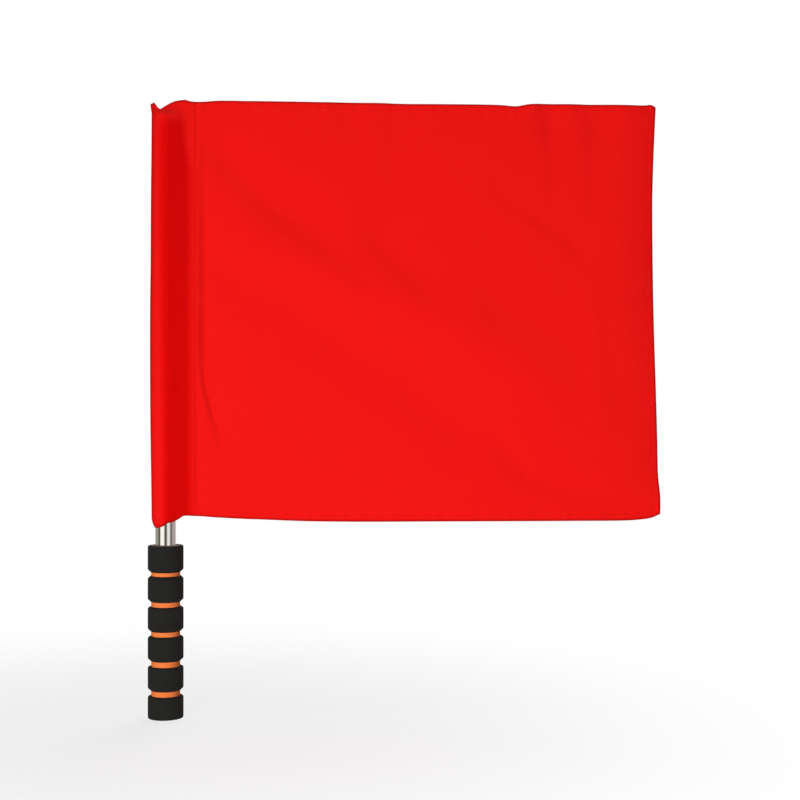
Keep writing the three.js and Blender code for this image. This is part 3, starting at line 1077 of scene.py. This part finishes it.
@dataclass
class Pocket(ClothShell):
    """The strip of cloth folded round the tube and sewn over the panel's hoist edge.

    Its first parameter runs from -1 at the sewn edge on the back, by 0 at the left bend, to 1 at the sewn
    edge on the front; the second runs up. In plan the cloth lies flat at the seam, leaves it along a
    tangent of the circle round the tube, follows that circle, and closes with half an ellipse on the left.
    """

    panel: Panel
    tube_radius: float
    close_from: float
    close_at: float
    slack: float = 0.55 * MM
    left_reach: float = 10.7 * MM
    left_bow: float = 1.3 * MM
    ear_reach: float = 1.2 * MM
    ear_height: float = 9 * MM
    seam_reach: float = 17.5 * MM
    seam_rounding: float = 1.6 * MM
    edge_reach: float = 24 * MM
    edge_press: float = 0.26 * MM
    press_width: float = 4 * MM
    edge_slope: float = 3 * MM
    edge_drop: float = 1.7
    layer_pitch: float = 0.8 * MM
    closing_line: float = 2.6 * MM
    flare_height: float = 10 * MM
    pucker_depth: float = 1.6 * MM
    pucker_reach: float = 15 * MM
    edge_roll: float = 1.2 * MM
    girth_shares: tuple[float, float] = (0.5, 0.61)
    sewn_shares: tuple[float, float] = (0.02, 0.14)
    flute: float = 0.12 * MM
    flute_width: float = 3.4 * MM
    flute_from: float = 2 * MM
    flute_drifts: Sequence[tuple[float, float]] = ((47 * MM, 1.3), (19 * MM, 0.7))
    thinnest: float = 0.15
    girth_samples: int = 801
    left_shares: Profile = (
        (0, 0), (0.1, 0.33), (0.22, 0.78), (0.34, 1), (0.5, 1), (0.62, 0.66), (0.76, 0.52), (0.88, 0.2),
        (1, 0),
    )
    top_shares: Profile = (
        (0, 0.03), (0.05, 0.15), (0.18, -0.84), (0.3, -0.38), (0.4, 0.08), (0.52, 0.48), (0.65, 0.6),
        (0.77, 0.6), (0.86, 0.4), (1, 0.3),
    )
    bottom_shares: Profile = (
        (0, 0.3), (0.04, -0.3), (0.08, -0.76), (0.12, -0.94), (0.17, -0.9), (0.3, -0.6), (0.38, -0.2),
        (0.52, 0.04), (0.6, 0.36), (0.7, 0.82), (0.78, 0.91), (1, 0.92),
    )

    @property
    def half_depth(self) -> float:
        """Half the pocket's depth at its middle surface, where it holds the tube."""
        return self.tube_radius + self.slack + self.panel.cloth / 2

    def depth(self, height: np.ndarray) -> np.ndarray:
        """Half the depth at a height. Over the plug's dome it follows an ellipse, and from there it falls
        straight along the ellipse's tangent to the seam that closes the top.

        Args:
            height: heights over the origin.

        Returns:
            Half the depth at each.
        """
        rise = np.clip(height - self.close_from, 0, None)
        dome = self.close_at + self.panel.cloth - self.close_from
        mouth = self.panel.bottom + self.panel.hoist - self.closing_line - self.close_from
        touch = dome * dome / mouth
        over_dome = self.half_depth * np.sqrt(1 - (np.minimum(rise, touch) / dome) ** 2)
        straight = (mouth - np.clip(rise, touch, mouth)) / (mouth - touch)
        return np.maximum(over_dome * straight, self.layer_pitch / 2)

    def reach(self, height: np.ndarray) -> np.ndarray:
        """How far the left bend reaches: it bows outwards half-way up and sticks out at the top corner.

        Args:
            height: heights over the origin.

        Returns:
            Distances from the tube's axis.
        """
        top = self.panel.bottom + self.panel.hoist
        bow = curve_through(self.left_shares, (height - self.panel.bottom) / self.panel.hoist)
        ear = smooth_step((height - top + self.ear_height) / self.ear_height)
        return self.left_reach + self.left_bow * bow + self.ear_reach * ear

    def plan(self, girth: np.ndarray, height: np.ndarray) -> tuple[np.ndarray, np.ndarray]:
        """The pocket's plan at a height, as x and the distance from the panel's plane.

        The tangent from the seam touches the circle at the angle of the seam point plus the arc cosine of
        radius over distance. The kink at the seam is rounded as a hyperbola, and the last of the sewn edge
        is pressed towards the panel.

        Args:
            girth: the first parameter.
            height: heights over the origin.

        Returns:
            x and the distance from the plane.
        """
        inwards = 1 - np.abs(girth)
        round_from, bend_from = self.girth_shares
        radius, reach = self.depth(height), self.reach(height)
        far = math.hypot(self.seam_reach, self.layer_pitch)
        touch = math.atan2(self.layer_pitch, self.seam_reach) + np.arccos(radius / far)
        touch_x, touch_y = radius * np.cos(touch), radius * np.sin(touch)
        x_side = self.edge_reach + (touch_x - self.edge_reach) * inwards / round_from
        slope = (touch_y - self.layer_pitch) / (self.seam_reach - touch_x)
        past = self.seam_reach - x_side
        rounding = np.minimum(self.seam_rounding, 4 * (touch_y - self.layer_pitch).clip(0))
        y_side = self.layer_pitch + slope * (past + np.hypot(past, rounding)) / 2
        end = self.seam_reach - touch_x
        y_end = self.layer_pitch + slope * (end + np.hypot(end, rounding)) / 2
        y_side = y_side - (y_end - touch_y) * (inwards / round_from).clip(0, 1) ** 3
        y_side = y_side - self.edge_press * smooth_step(1 - (self.edge_reach - x_side) / self.press_width)
        turn = touch + (math.pi / 2 - touch) * ((inwards - round_from) / (bend_from - round_from)).clip(0, 1)
        bend = (math.pi / 2) * ((inwards - bend_from) / (1 - bend_from)).clip(0, 1)
        on_side, on_circle = inwards < round_from, inwards < bend_from
        x = np.where(on_side, x_side, np.where(on_circle, radius * np.cos(turn), -reach * np.sin(bend)))
        y = np.where(on_side, y_side, np.where(on_circle, radius * np.sin(turn), radius * np.cos(bend)))
        return x, y

    def middle(self, a: np.ndarray, b: np.ndarray) -> np.ndarray:
        """The plan at each height, with the edges' waves, the pucker of the closed top and soft flutes.

        Args:
            a: the place round the pocket.
            b: shares of the height.

        Returns:
            Points of shape (..., 3).
        """
        top = self.panel.bottom + self.panel.hoist
        level = self.panel.bottom + self.panel.hoist * b
        x, y = self.plan(a, level)
        along = (x + self.left_reach) / (self.edge_reach + self.left_reach)
        lift = ((level - self.close_at) / (top - self.close_at)).clip(0, 1)
        drop = ((self.panel.bottom + self.flare_height - level) / self.flare_height).clip(0, 1)
        wave = lift * curve_through(self.top_shares, along) + drop * curve_through(self.bottom_shares, along)
        bulge = np.sin(2 * math.pi * (x + self.left_reach) / (self.pucker_reach + self.left_reach))
        tuck = np.where(x < self.pucker_reach, self.pucker_depth * bulge * lift, 0)
        out = y + self._flutes(x, level) * smooth_step((y - self.layer_pitch) / self.flute_from)
        return np.stack([x, -np.sign(a) * out - tuck, level + self.panel.edge_wave * wave], axis=-1)

    def _flutes(self, x: np.ndarray, level: np.ndarray) -> np.ndarray:
        """Shallow upright flutes that only swell outwards: the square of a sine whose phase drifts."""
        drift = sum(share * np.sin(level / length) for length, share in self.flute_drifts)
        return self.flute * np.sin(x / self.flute_width + drift) ** 2

    def halves(self, a: np.ndarray, b: np.ndarray) -> tuple[np.ndarray, np.ndarray]:
        """Half the cloth each way, rounded off at the bottom and the top. At the sewn edges the outer face
        slopes down to the inner one by a parabola.

        Args:
            a: the place round the pocket.
            b: shares of the height.

        Returns:
            How far the outer and the inner face lie from the middle surface.
        """
        from_side = (1 - np.abs(a)) * (self.edge_reach / self.girth_shares[0])
        from_end = np.minimum(b, 1 - b) * self.panel.hoist
        q = np.clip(1 - from_end / self.edge_roll, 0, 1)
        half = self.panel.cloth / 2 * np.maximum(np.sqrt(1 - q * q), self.thinnest)
        sewn = np.clip(1 - from_side / self.edge_slope, 0, 1)
        return half * (1 - self.edge_drop * sewn * sewn), half

    def flat_place(self, a: np.ndarray, b: np.ndarray) -> np.ndarray:
        """The length round the pocket at half its height, and the height.

        Args:
            a: the place round the pocket.
            b: shares of the height.

        Returns:
            Places of shape (..., 2).
        """
        girth = np.linspace(-1, 1, self.girth_samples)
        x, y = self.plan(girth, np.full(girth.shape, self.panel.bottom + self.panel.hoist / 2))
        steps = np.hypot(np.diff(x), np.diff(-np.sign(girth) * y))
        length = np.concatenate([[0], np.cumsum(steps)])
        return np.stack([np.interp(a, girth, length), b * self.panel.hoist], axis=-1)

    @property
    def flat_width(self) -> float:
        """The width of the flat cut."""
        return float(self.flat_place(np.array(1.0), np.array(0.0))[0])

    def girth_at(self, x: float) -> float:
        """The first parameter of a place on the front's flat part.

        Args:
            x: how far the place lies to the right of the axis.

        Returns:
            The parameter.
        """
        radius = self.half_depth
        far = math.hypot(self.seam_reach, self.layer_pitch)
        touch = math.atan2(self.layer_pitch, self.seam_reach) + math.acos(radius / far)
        share = (self.edge_reach - x) / (self.edge_reach - radius * math.cos(touch))
        return 1 - share * self.girth_shares[0]

    def made(self) -> bpy.types.Object:
        """Builds the pocket.

        Returns:
            The pocket.
        """
        round_from, bend_from = self.girth_shares
        edge_to, seam_to = self.sewn_shares
        half = along_steps(
            (0, edge_to, 4),
            (edge_to, seam_to, 12),
            (seam_to, round_from, 24),
            (round_from, bend_from, 10),
            (bend_from, 1, 36),
        )
        columns = np.concatenate([half - 1, (1 - half)[-2::-1]])
        hoist = self.panel.hoist
        rows = along_steps(
            (0, self.edge_roll, 4),
            (self.edge_roll, self.flare_height, 12),
            (self.flare_height, self.close_from - self.panel.bottom, 150),
            (self.close_from - self.panel.bottom, self.close_at - self.panel.bottom, 22),
            (self.close_at - self.panel.bottom, hoist - self.edge_roll, 12),
            (hoist - self.edge_roll, hoist, 4),
        )
        return self.build("pocket_cloth", columns, rows / hoist)


@dataclass(frozen=True)
class StitchRow:
    """A row of lockstitches on one face of a cloth, along a straight line of its two parameters."""

    start: tuple[float, float]
    end: tuple[float, float]
    side: Side


@dataclass(frozen=True)
class Stitching:
    """Sewing machine stitches: each is a short thread that dives into the cloth at both ends."""

    pitch: float = 3.2 * MM
    length: float = 2.7 * MM
    radius: float = 0.17 * MM
    rise: float = 0.75
    taper: float = 0.75
    slant: float = math.radians(5)
    rings: int = 6
    sides: int = 6
    samples: int = 600
    look: float = 0.5 * MM

    def row(self, cloth: ClothShell, row: StitchRow) -> np.ndarray:
        """The stitches of one row.

        Stitches are evenly spaced along the row. Each has its own axes: along the row, which is read from
        a little before to a little after it, out of the cloth and across. With s from -1 to 1 along the
        stitch, a ring's middle rises by rise * (1 - 2 s^4) of the thread's radius, and the thread thins by
        taper * s^6.

        Args:
            cloth: the cloth that is sewn.
            row: the row.

        Returns:
            Points of shape (stitches, rings, sides, 3).
        """
        t = np.linspace(0, 1, self.samples)
        a = row.start[0] + (row.end[0] - row.start[0]) * t
        b = row.start[1] + (row.end[1] - row.start[1]) * t
        line = cloth.on_face(a, b, row.side)[0]
        run = np.concatenate([[0], np.cumsum(np.linalg.norm(np.diff(line, axis=0), axis=1))])
        count = int(run[-1] / self.pitch)
        at = (np.arange(count) + 0.5) * (run[-1] / count)
        a, b = np.interp(at, run, a), np.interp(at, run, b)
        middle, out = cloth.on_face(a, b, row.side)
        ahead, behind = (
            np.stack([np.interp(place, run, line[:, k]) for k in range(3)], axis=1)
            for place in (at + self.look, at - self.look)
        )
        along = ahead - behind
        along = along - out * (along * out).sum(axis=1, keepdims=True)
        along = along / np.linalg.norm(along, axis=1, keepdims=True)
        across = np.cross(out, along)
        along, across = (
            along * math.cos(self.slant) + across * math.sin(self.slant),
            across * math.cos(self.slant) - along * math.sin(self.slant),
        )
        s = np.sin(np.linspace(-math.pi / 2, math.pi / 2, self.rings))[:, None, None]
        turn = (np.arange(self.sides) * (2 * math.pi / self.sides))[None, :, None]
        thick = self.radius * (1 - self.taper * s**6)
        rise = self.radius * self.rise * (1 - 2 * s**4) + thick * np.sin(turn)
        place = middle[:, None, None] + along[:, None, None] * (s * self.length / 2)
        return place + out[:, None, None] * rise + across[:, None, None] * (thick * np.cos(turn))

    def build(self, name: str, sewn: Sequence[tuple[ClothShell, StitchRow]]) -> bpy.types.Object:
        """Makes one mesh of several rows.

        Args:
            name: the object's name.
            sewn: each row with the cloth that it lies on.

        Returns:
            The object.
        """
        points = np.concatenate([self.row(cloth, row) for cloth, row in sewn])
        tube = grid_faces(self.rings, self.sides, round_columns=True)[:, ::-1]
        first = np.arange(self.sides)
        last = (first + (self.rings - 1) * self.sides)[::-1]
        each = self.rings * self.sides
        faces = []
        for number in range(len(points)):
            faces.extend((tube + number * each).tolist())
            faces.append((first + number * each).tolist())
            faces.append((last + number * each).tolist())
        return mesh_object(name, points, faces)


# Sub-assemblies


def dress(piece: bpy.types.Object, material: bpy.types.Material, body: Body, slot: Slot, *nodes: str) -> None:
    """Gives a finished piece its material and body, and hides the solids that it stands for.

    Args:
        piece: the piece.
        material: its only material.
        body: the body that it moves with.
        slot: the record's slot; not used.
        nodes: the solids that it replaces.
    """
    piece.data.materials.append(material)
    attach(piece, body.value)
    if nodes:
        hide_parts(*nodes)
    LOG.info("%s: %d faces on %s", piece.name, len(piece.data.polygons), body.value)


@dataclass
class Pole:
    """The polished tube and the plastic plugs in its two ends."""

    wall: float = 0.8 * MM
    edge: float = 0.12 * MM
    tube_span: float = 20 * MM
    plug_edge: float = 0.08 * MM
    plug_span: float = 6 * MM
    axis_gap: float = 0.3 * MM
    fit_gap: float = 0.3 * MM
    rib_depth: float = 0.5 * MM
    rib_count: int = 3
    stem: float = 18 * MM
    plug_wall: float = 1.6 * MM
    flange: float = 2 * MM
    flange_edge: float = 0.5 * MM
    dome_rim: float = 1 * MM
    segments: int = 256
    plug_segments: int = 96

    def __post_init__(self) -> None:
        """Reads the tube's size and place from its solid."""
        low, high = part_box("pole_tube")
        self.radius = (high.x - low.x) / 2
        self.bottom, self.top = low.z, high.z
        self.dome_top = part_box("pole_top_plug")[1].z
        self.plug_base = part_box("pole_bottom_plug")[0].z

    @property
    def plug_bore(self) -> float:
        """The radius of the hollow in a plug's stem."""
        return self.radius - self.wall - self.fit_gap - self.rib_depth - self.plug_wall

    def tube(self) -> bpy.types.Object:
        """Makes the tube: a thin ring profile with its four edges broken.

        Returns:
            The tube.
        """
        bore = self.radius - self.wall
        corners = ((bore, self.bottom), (self.radius, self.bottom), (self.radius, self.top), (bore, self.top))
        profile = rounded(corners, [self.edge] * 4, 3, self.tube_span)
        return turned("steel_tube", profile, self.segments)

    def _stem(self, root: float, tip: float) -> list[tuple[float, float]]:
        """The ribbed side of a plug's stem: steps in to a waist above each rib and slants out again.

        Args:
            root: the height of its root, at the head.
            tip: the height of its tip.

        Returns:
            Corners (radius, height) from root to tip.
        """
        radius = self.radius - self.wall - self.fit_gap
        step = (tip - root) / (2 * self.rib_count)
        points = [(radius, root)]
        for rib in range(self.rib_count):
            start = root + step * (2 * rib + 1)
            waist = radius - self.rib_depth
            points += [(radius, start), (waist, start), (waist, start + step / 2), (radius, start + step)]
        return [*points, (radius - self.rib_depth, tip)]

    def _plug(self, name: str, corners: Sequence[tuple[float, float]]) -> bpy.types.Object:
        """A plug from its closed profile. The profile's two ends lie a hair off the axis."""
        profile = rounded(corners, [self.plug_edge] * len(corners), 3, self.plug_span)
        return turned(name, profile, self.plug_segments, crease=50)

    def bottom_plug(self) -> bpy.types.Object:
        """Makes the lower plug: a flat flange and a hollow ribbed stem.

        Returns:
            The plug.
        """
        base, root = self.plug_base, self.plug_base + self.flange
        tip = root + self.stem
        corners = [
            (self.axis_gap, base),
            (self.radius - self.flange_edge, base),
            (self.radius, base + self.flange_edge),
            (self.radius, root),
            *self._stem(root, tip),
            (self.plug_bore, tip),
            (self.plug_bore, root),
            (self.axis_gap, root),
        ]
        return self._plug("lower_plug", corners)

    def top_plug(self) -> bpy.types.Object:
        """Makes the upper plug: a domed head, a quarter ellipse in section, and the same stem below it.

        Returns:
            The plug.
        """
        root = self.top + self.fit_gap
        tip = root - self.stem
        rim = root + self.dome_rim
        angles = np.linspace(0, math.pi / 2, 14)[:-1]
        dome = [(self.radius * math.cos(q), rim + (self.dome_top - rim) * math.sin(q)) for q in angles]
        corners = [
            (self.axis_gap, root),
            (self.plug_bore, root),
            (self.plug_bore, tip),
            *reversed(self._stem(root, tip)),
            (self.radius, root),
            *dome,
            (self.axis_gap, self.dome_top),
        ]
        return self._plug("upper_plug", corners)

    def build(self, steel: bpy.types.Material, plastic: bpy.types.Material) -> None:
        """Makes the tube and both plugs.

        Args:
            steel: the tube's material.
            plastic: the plugs' material.
        """
        dress(self.tube(), steel, Body.POLE, Slot.STEEL, "pole_tube")
        dress(self.bottom_plug(), plastic, Body.POLE, Slot.PLASTIC, "pole_bottom_plug")
        dress(self.top_plug(), plastic, Body.POLE, Slot.PLASTIC, "pole_top_plug")


@dataclass
class Grip:
    """The foam grip: an orange sleeve with six black bands, parted by grooves with bevelled sides."""

    bands: int = 6
    fit_gap: float = 0.3 * MM
    sleeve_edge: float = 0.25 * MM
    # The sleeve's top end is painted with grazing sheen and shade from this far below its top.
    painted_end_depth: float = 0.5 * MM
    band_span: float = 1 * MM
    bevel: float = 2.1 * MM
    end_rounding: float = 1.1 * MM
    shoulder_rounding: float = 0.75 * MM
    foot_rounding: float = 0.15 * MM
    foot_drops: tuple[float, ...] = (0, 0, 0.8 * MM, 0.7 * MM, 1.3 * MM, 1.1 * MM)
    cut_waver: float = 0.14 * MM
    swell: float = 0.09 * MM
    segments: int = 192

    def sleeve(self) -> bpy.types.Object:
        """Makes the orange sleeve, its bore round the tube and its outside at the bottom of the grooves.

        Returns:
            The sleeve.
        """
        low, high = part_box("grip_core")
        bore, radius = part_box("pole_tube")[1].x + self.fit_gap, high.x
        corners = ((bore, low.z), (radius, low.z), (radius, high.z), (bore, high.z))
        return turned("foam_sleeve", rounded(corners, [self.sleeve_edge] * 4, 3), self.segments)

    def band(self, number: int) -> bpy.types.Object:
        """Makes one black band. Its sides towards a groove are bevelled and its shoulders softly rounded;
        the knife's cut wavers round the grip by a sine of the angle, and the foam swells a little between.
        The knife left the upper feet of the lower bands further down, which shows more of the sleeve.

        Args:
            number: the band's number, 1 at the top.

        Returns:
            The band.
        """
        low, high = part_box(f"grip_band_{number}")
        outer = high.x
        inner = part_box("grip_core")[1].x + self.fit_gap
        first, last = number == 1, number == self.bands
        lower = 0 if last else self.bevel
        upper = 0 if first else self.bevel
        foot = high.z - self.foot_drops[number - 1]
        corners = ((inner, low.z), (outer, low.z + lower), (outer, high.z - upper), (inner, foot))
        cuts = (
            self.foot_rounding,
            self.end_rounding if last else self.shoulder_rounding,
            self.end_rounding if first else self.shoulder_rounding,
            self.foot_rounding,
        )
        profile = rounded(corners, cuts, 6, self.band_span)
        middle, half = (low.z + high.z) / 2, (high.z - low.z) / 2

        def uneven(
            radius: np.ndarray, height: np.ndarray, angle: np.ndarray
        ) -> tuple[np.ndarray, np.ndarray]:
            """Moves points inwards only, so that a band never grows past its solid.

            Args:
                radius: each point's radius.
                height: its height.
                angle: its angle.

            Returns:
                The new radius and height.
            """
            up = (height - middle) / half
            waver = self.cut_waver * (0.5 + 0.5 * np.sin(angle * 2 + number * 1.7 + np.sign(up) * 0.8))
            outwards = (radius - inner) / (outer - inner)
            ripple = 0.5 + 0.3 * np.sin(3 * angle + number) + 0.2 * np.sin(7 * angle + 2 * number + 5 * up)
            moved = radius - self.swell * outwards * (up**2 * 0.7 + 0.3 * ripple)
            return moved, height - np.sign(up) * waver * outwards * up**4

        return turned(f"foam_band_{number}", profile, self.segments, uneven)

    def build(self, black: bpy.types.Material, orange: bpy.types.Material) -> None:
        """Makes the sleeve and the bands, all of them tight foam.

        Args:
            black: the bands' material.
            orange: the sleeve's material.
        """
        sleeve = self.sleeve()
        dress(sleeve, orange, Body.POLE, Slot.ORANGE_FOAM, "grip_core")
        for number in range(1, self.bands + 1):
            band = self.band(number)
            dress(band, black, Body.POLE, Slot.BLACK_FOAM, f"grip_band_{number}")


@dataclass
class Flag:
    """The cloth: the panel, the pocket and all their stitching."""

    panel: Panel
    pocket: Pocket
    stitching: Stitching = field(default_factory=Stitching)
    seam_lines: tuple[float, float] = (19.6 * MM, 22.5 * MM)
    seam_ends: float = 1.5 * MM
    hem_start: float = 0.6 * MM
    pocket_hem: float = 4.6 * MM
    closing_start: float = 1 * MM
    bend_gap: float = 0.06

    def _hem_rows(self) -> list[tuple[ClothShell, StitchRow]]:
        """The panel's hem stitching on both faces: along the top, the bottom and the fly.

        Returns:
            Each row with the panel.
        """
        panel = self.panel
        in_x, in_z = panel.stitch_line / panel.width, panel.stitch_line / panel.hoist
        first = (panel.tuck + self.hem_start) / panel.width
        lines = (
            ((first, in_z), (1 - in_x, in_z)),
            ((1 - in_x, in_z), (1 - in_x, 1 - in_z)),
            ((first, 1 - in_z), (1 - in_x, 1 - in_z)),
        )
        return [(panel, StitchRow(*line, side)) for line in lines for side in Side]

    def _seam_rows(self) -> list[tuple[ClothShell, StitchRow]]:
        """The two rows up the seam, on the front and on the back of the pocket.

        Returns:
            Each row with the pocket.
        """
        low = self.seam_ends / self.panel.hoist
        places = [sign * self.pocket.girth_at(x) for x in self.seam_lines for sign in (1, -1)]
        return [(self.pocket, StitchRow((g, low), (g, 1 - low), Side.OUTER)) for g in places]

    def _pocket_rows(self) -> list[tuple[ClothShell, StitchRow]]:
        """The row round the pocket's open bottom, and the row that closes its top, front and back.

        Returns:
            Each row with the pocket.
        """
        top, hem = 1 - self.pocket.closing_line / self.panel.hoist, self.pocket_hem / self.panel.hoist
        edge, bend = self.pocket.girth_at(self.seam_lines[0] - self.closing_start), self.bend_gap
        lines = (((-edge, hem), (edge, hem)), ((edge, top), (bend, top)), ((-bend, top), (-edge, top)))
        return [(self.pocket, StitchRow(*line, Side.OUTER)) for line in lines]

    def build(self, thread: bpy.types.Material) -> None:
        """Args:
            thread: the stitches' material.
        """
        flat = WovenCloth(self.panel.width, self.panel.hoist)
        steel_top = self.pocket.close_from - self.panel.bottom
        wrapped = WrappedCloth(self.pocket.flat_width, self.panel.hoist, steel_top=steel_top)
        panel, pocket = self.panel.made(), self.pocket.made()
        dress(panel, material_of(flat.name, flat.dress), Body.FLAG, Slot.CLOTH, "flag_panel")
        dress(pocket, material_of(wrapped.name, wrapped.dress), Body.FLAG, Slot.CLOTH, "pole_pocket")
        hems = self.stitching.build("hem_stitching", self._hem_rows())
        seam = self.stitching.build("seam_stitching", self._seam_rows())
        ends = self.stitching.build("pocket_stitching", self._pocket_rows())
        for sewn in (hems, seam, ends):
            dress(sewn, thread, Body.FLAG, Slot.CLOTH)
        self.pocket.flat_width


@dataclass(frozen=True)
class Lamp:
    """A square soft lamp that neither mirrors nor the camera show."""

    name: str
    place: tuple[float, float, float]
    target: tuple[float, float, float]
    side: float
    watts: float

    def build(self) -> None:
        """Makes the lamp and turns it towards its target."""
        data = bpy.data.lights.new(self.name, "AREA")
        data.shape, data.size, data.energy = "SQUARE", self.side, self.watts
        lamp = bpy.data.objects.new(self.name, data)
        towards = np.array(self.target) - np.array(self.place)
        flat = math.hypot(towards[0], towards[1])
        lamp.location = self.place
        lamp.rotation_euler = (math.atan2(flat, -towards[2]), 0, math.atan2(-towards[0], towards[1]))
        lamp.visible_glossy = False
        lamp.visible_camera = False
        bpy.context.scene.collection.objects.link(lamp)


@dataclass
class Studio:
    """Camera, lamps, world and floor. A row of mirrored holds degrees round the flag and the colour that
    polished steel mirrors from there."""

    MIDDLE = (0.19, 0.0, 0.30)

    lens: float = 66.0
    sensor: float = 36.0
    eye: tuple[float, float, float] = (0.185, -1.158, 0.2506)
    lamps: Sequence[Lamp] = (
        Lamp("key_lamp", (-1.35, -4.23, 0.3), MIDDLE, 0.6, 141.0),
        Lamp("low_lamp", (0.12, -0.8, 0.05), MIDDLE, 0.1, 2.2),
        Lamp("top_lamp", (0.15, 0.5, 2.2), (0.15, 0.0, 0.0), 2.4, 15.0),
        Lamp("back_lamp", (0.45, 1.5, 0.6), MIDDLE, 1.0, 14.0),
    )
    floor_radius: float = 5.0
    floor_sides: int = 96
    floor_white_from: float = 0.08
    floor_white_at: float = 0.55
    floor_glow: float = 0.76
    floor_seen: Colour = grey(0.92)
    floor_bounce: Colour = grey(0.35)
    ambient: Colour = (0.04, 0.04, 0.041, 1.0)
    mirrored: Sequence[tuple[float, Colour]] = (
        (-180, grey(0.9)),
        (-160, grey(0.85)),
        (-148, (0.36, 0.36, 0.30, 1.0)),
        (-82, (0.36, 0.36, 0.30, 1.0)),
        (-73, (0.10, 0.09, 0.055, 1.0)),
        (-57, (0.09, 0.08, 0.05, 1.0)),
        (-49, (1.2, 1.18, 1.08, 1.0)),
        (-12, (1.2, 1.18, 1.08, 1.0)),
        (-2, (0.14, 0.13, 0.11, 1.0)),
        (20, (0.13, 0.12, 0.10, 1.0)),
        (28, (0.98, 0.98, 0.92, 1.0)),
        (54, (0.98, 0.98, 0.92, 1.0)),
        (63, (0.24, 0.22, 0.21, 1.0)),
        (84, (0.20, 0.18, 0.18, 1.0)),
        (93, (0.54, 0.43, 0.43, 1.0)),
        (152, (0.54, 0.43, 0.43, 1.0)),
        (166, grey(0.85)),
        (180, grey(0.9)),
    )

    def camera(self) -> None:
        """A level camera in front of the panel, where the photograph was taken from."""
        data = bpy.data.cameras.new("camera")
        data.lens, data.sensor_width = self.lens, self.sensor
        camera = bpy.data.objects.new("camera", data)
        camera.location = self.eye
        camera.rotation_euler = (math.pi / 2, 0, 0)
        bpy.context.scene.collection.objects.link(camera)
        bpy.context.scene.camera = camera

    def world(self) -> None:
        """White behind everything for the camera, a ring of light and dark screens for mirrors, and an even
        soft light for the rest. The ring is a ramp over the angle about Z, 0 towards -Y and rising to +X."""
        world = bpy.data.worlds.new("studio")
        world.use_nodes = True
        bpy.context.scene.world = world
        graph = Graph(world.node_tree)
        apart = graph.node("SeparateXYZ", {}, {0: graph.out(graph.node("TexCoord"), "Generated")})
        x, y = graph.out(apart, "X"), graph.out(apart, "Y")
        turn = x.maths("ARCTAN2", x, 0.0 - y) / (2 * math.pi) + 0.5
        stops = [(degrees / 360 + 0.5, colour) for degrees, colour in self.mirrored]
        ring = graph.out(graph.node("ValToRGB", {"stops": stops}, {"Fac": turn}))
        path = graph.node("LightPath")
        seen = graph.mix(graph.out(path, "Is Glossy Ray"), self.ambient, ring)
        seen = graph.mix(graph.out(path, "Is Camera Ray"), seen, grey(1.0))
        light = graph.node("Background", {}, {"Color": seen})
        graph.node("OutputWorld", {}, {"Surface": graph.out(light)})

    def floor(self) -> None:
        """A pale disc that keeps the shadow near the flag and turns white further out, for the camera."""
        angle = np.arange(self.floor_sides) * (2 * math.pi / self.floor_sides)
        points = np.stack([np.cos(angle), np.sin(angle), 0 * angle], axis=1) * self.floor_radius
        floor = mesh_object("floor", points, [range(self.floor_sides)])
        material = bpy.data.materials.new("pale_floor")
        material.use_nodes = True
        graph = Graph(material.node_tree)
        place = graph.out(graph.node("TexCoord"), "Object")
        away = graph.out(graph.node("VectorMath", {"operation": "LENGTH"}, {0: place}), "Value")
        camera = graph.out(graph.node("LightPath"), "Is Camera Ray")
        shade = graph.mix(camera, self.floor_bounce, self.floor_seen)
        matt = graph.out(graph.node("BsdfDiffuse", {}, {"Color": shade}))
        white = graph.out(graph.node("Emission", {}, {"Color": grey(1.0)}))
        far = away.ramp(self.floor_white_from, self.floor_white_at)
        share = camera * (self.floor_glow + far * (1 - self.floor_glow))
        mixed = graph.out(graph.node("MixShader", {}, {0: share, 1: matt, 2: white}))
        graph.node("OutputMaterial", {}, {"Surface": mixed})
        floor.data.materials.append(material)
        floor.visible_glossy = False

    def build(self) -> None:
        """Sets up the studio round the flag."""
        self.camera()
        bpy.context.scene.view_settings.view_transform = "Standard"
        self.world()
        self.floor()
        for lamp in self.lamps:
            lamp.build()


def main() -> None:
    logging.basicConfig(level=logging.INFO, format="%(message)s")
    Studio().build()
    steel = material_of(PolishedSteel.name, PolishedSteel().dress)
    plastic = material_of(MouldedPlastic.name, MouldedPlastic().dress)
    grip = Grip()
    black = Foam(
        "black_foam",
        skin=(0.0150, 0.0148, 0.0140, 1.0),
        painted_pore_shade=(0.0060, 0.0060, 0.0058, 1.0),
        dust=(0.034, 0.033, 0.030, 1.0),
    )
    orange = Foam(
        "orange_foam",
        skin=(0.93, 0.24, 0.062, 1.0),
        painted_pore_shade=(0.72, 0.135, 0.03, 1.0),
        dust=(0.88, 0.26, 0.09, 1.0),
        painted_end_from=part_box("grip_core")[1].z - grip.painted_end_depth,
    )
    pole = Pole()
    pole.build(steel, plastic)
    grip.build(material_of(black.name, black.dress), material_of(orange.name, orange.dress))
    panel = Panel()
    dome_rim = pole.top + pole.fit_gap + pole.dome_rim
    pocket = Pocket(panel, pole.radius, dome_rim, pole.dome_top + pole.fit_gap)
    Flag(panel, pocket).build(material_of(SewingThread.name, SewingThread().dress))


if __name__ == "__main__":
    main()
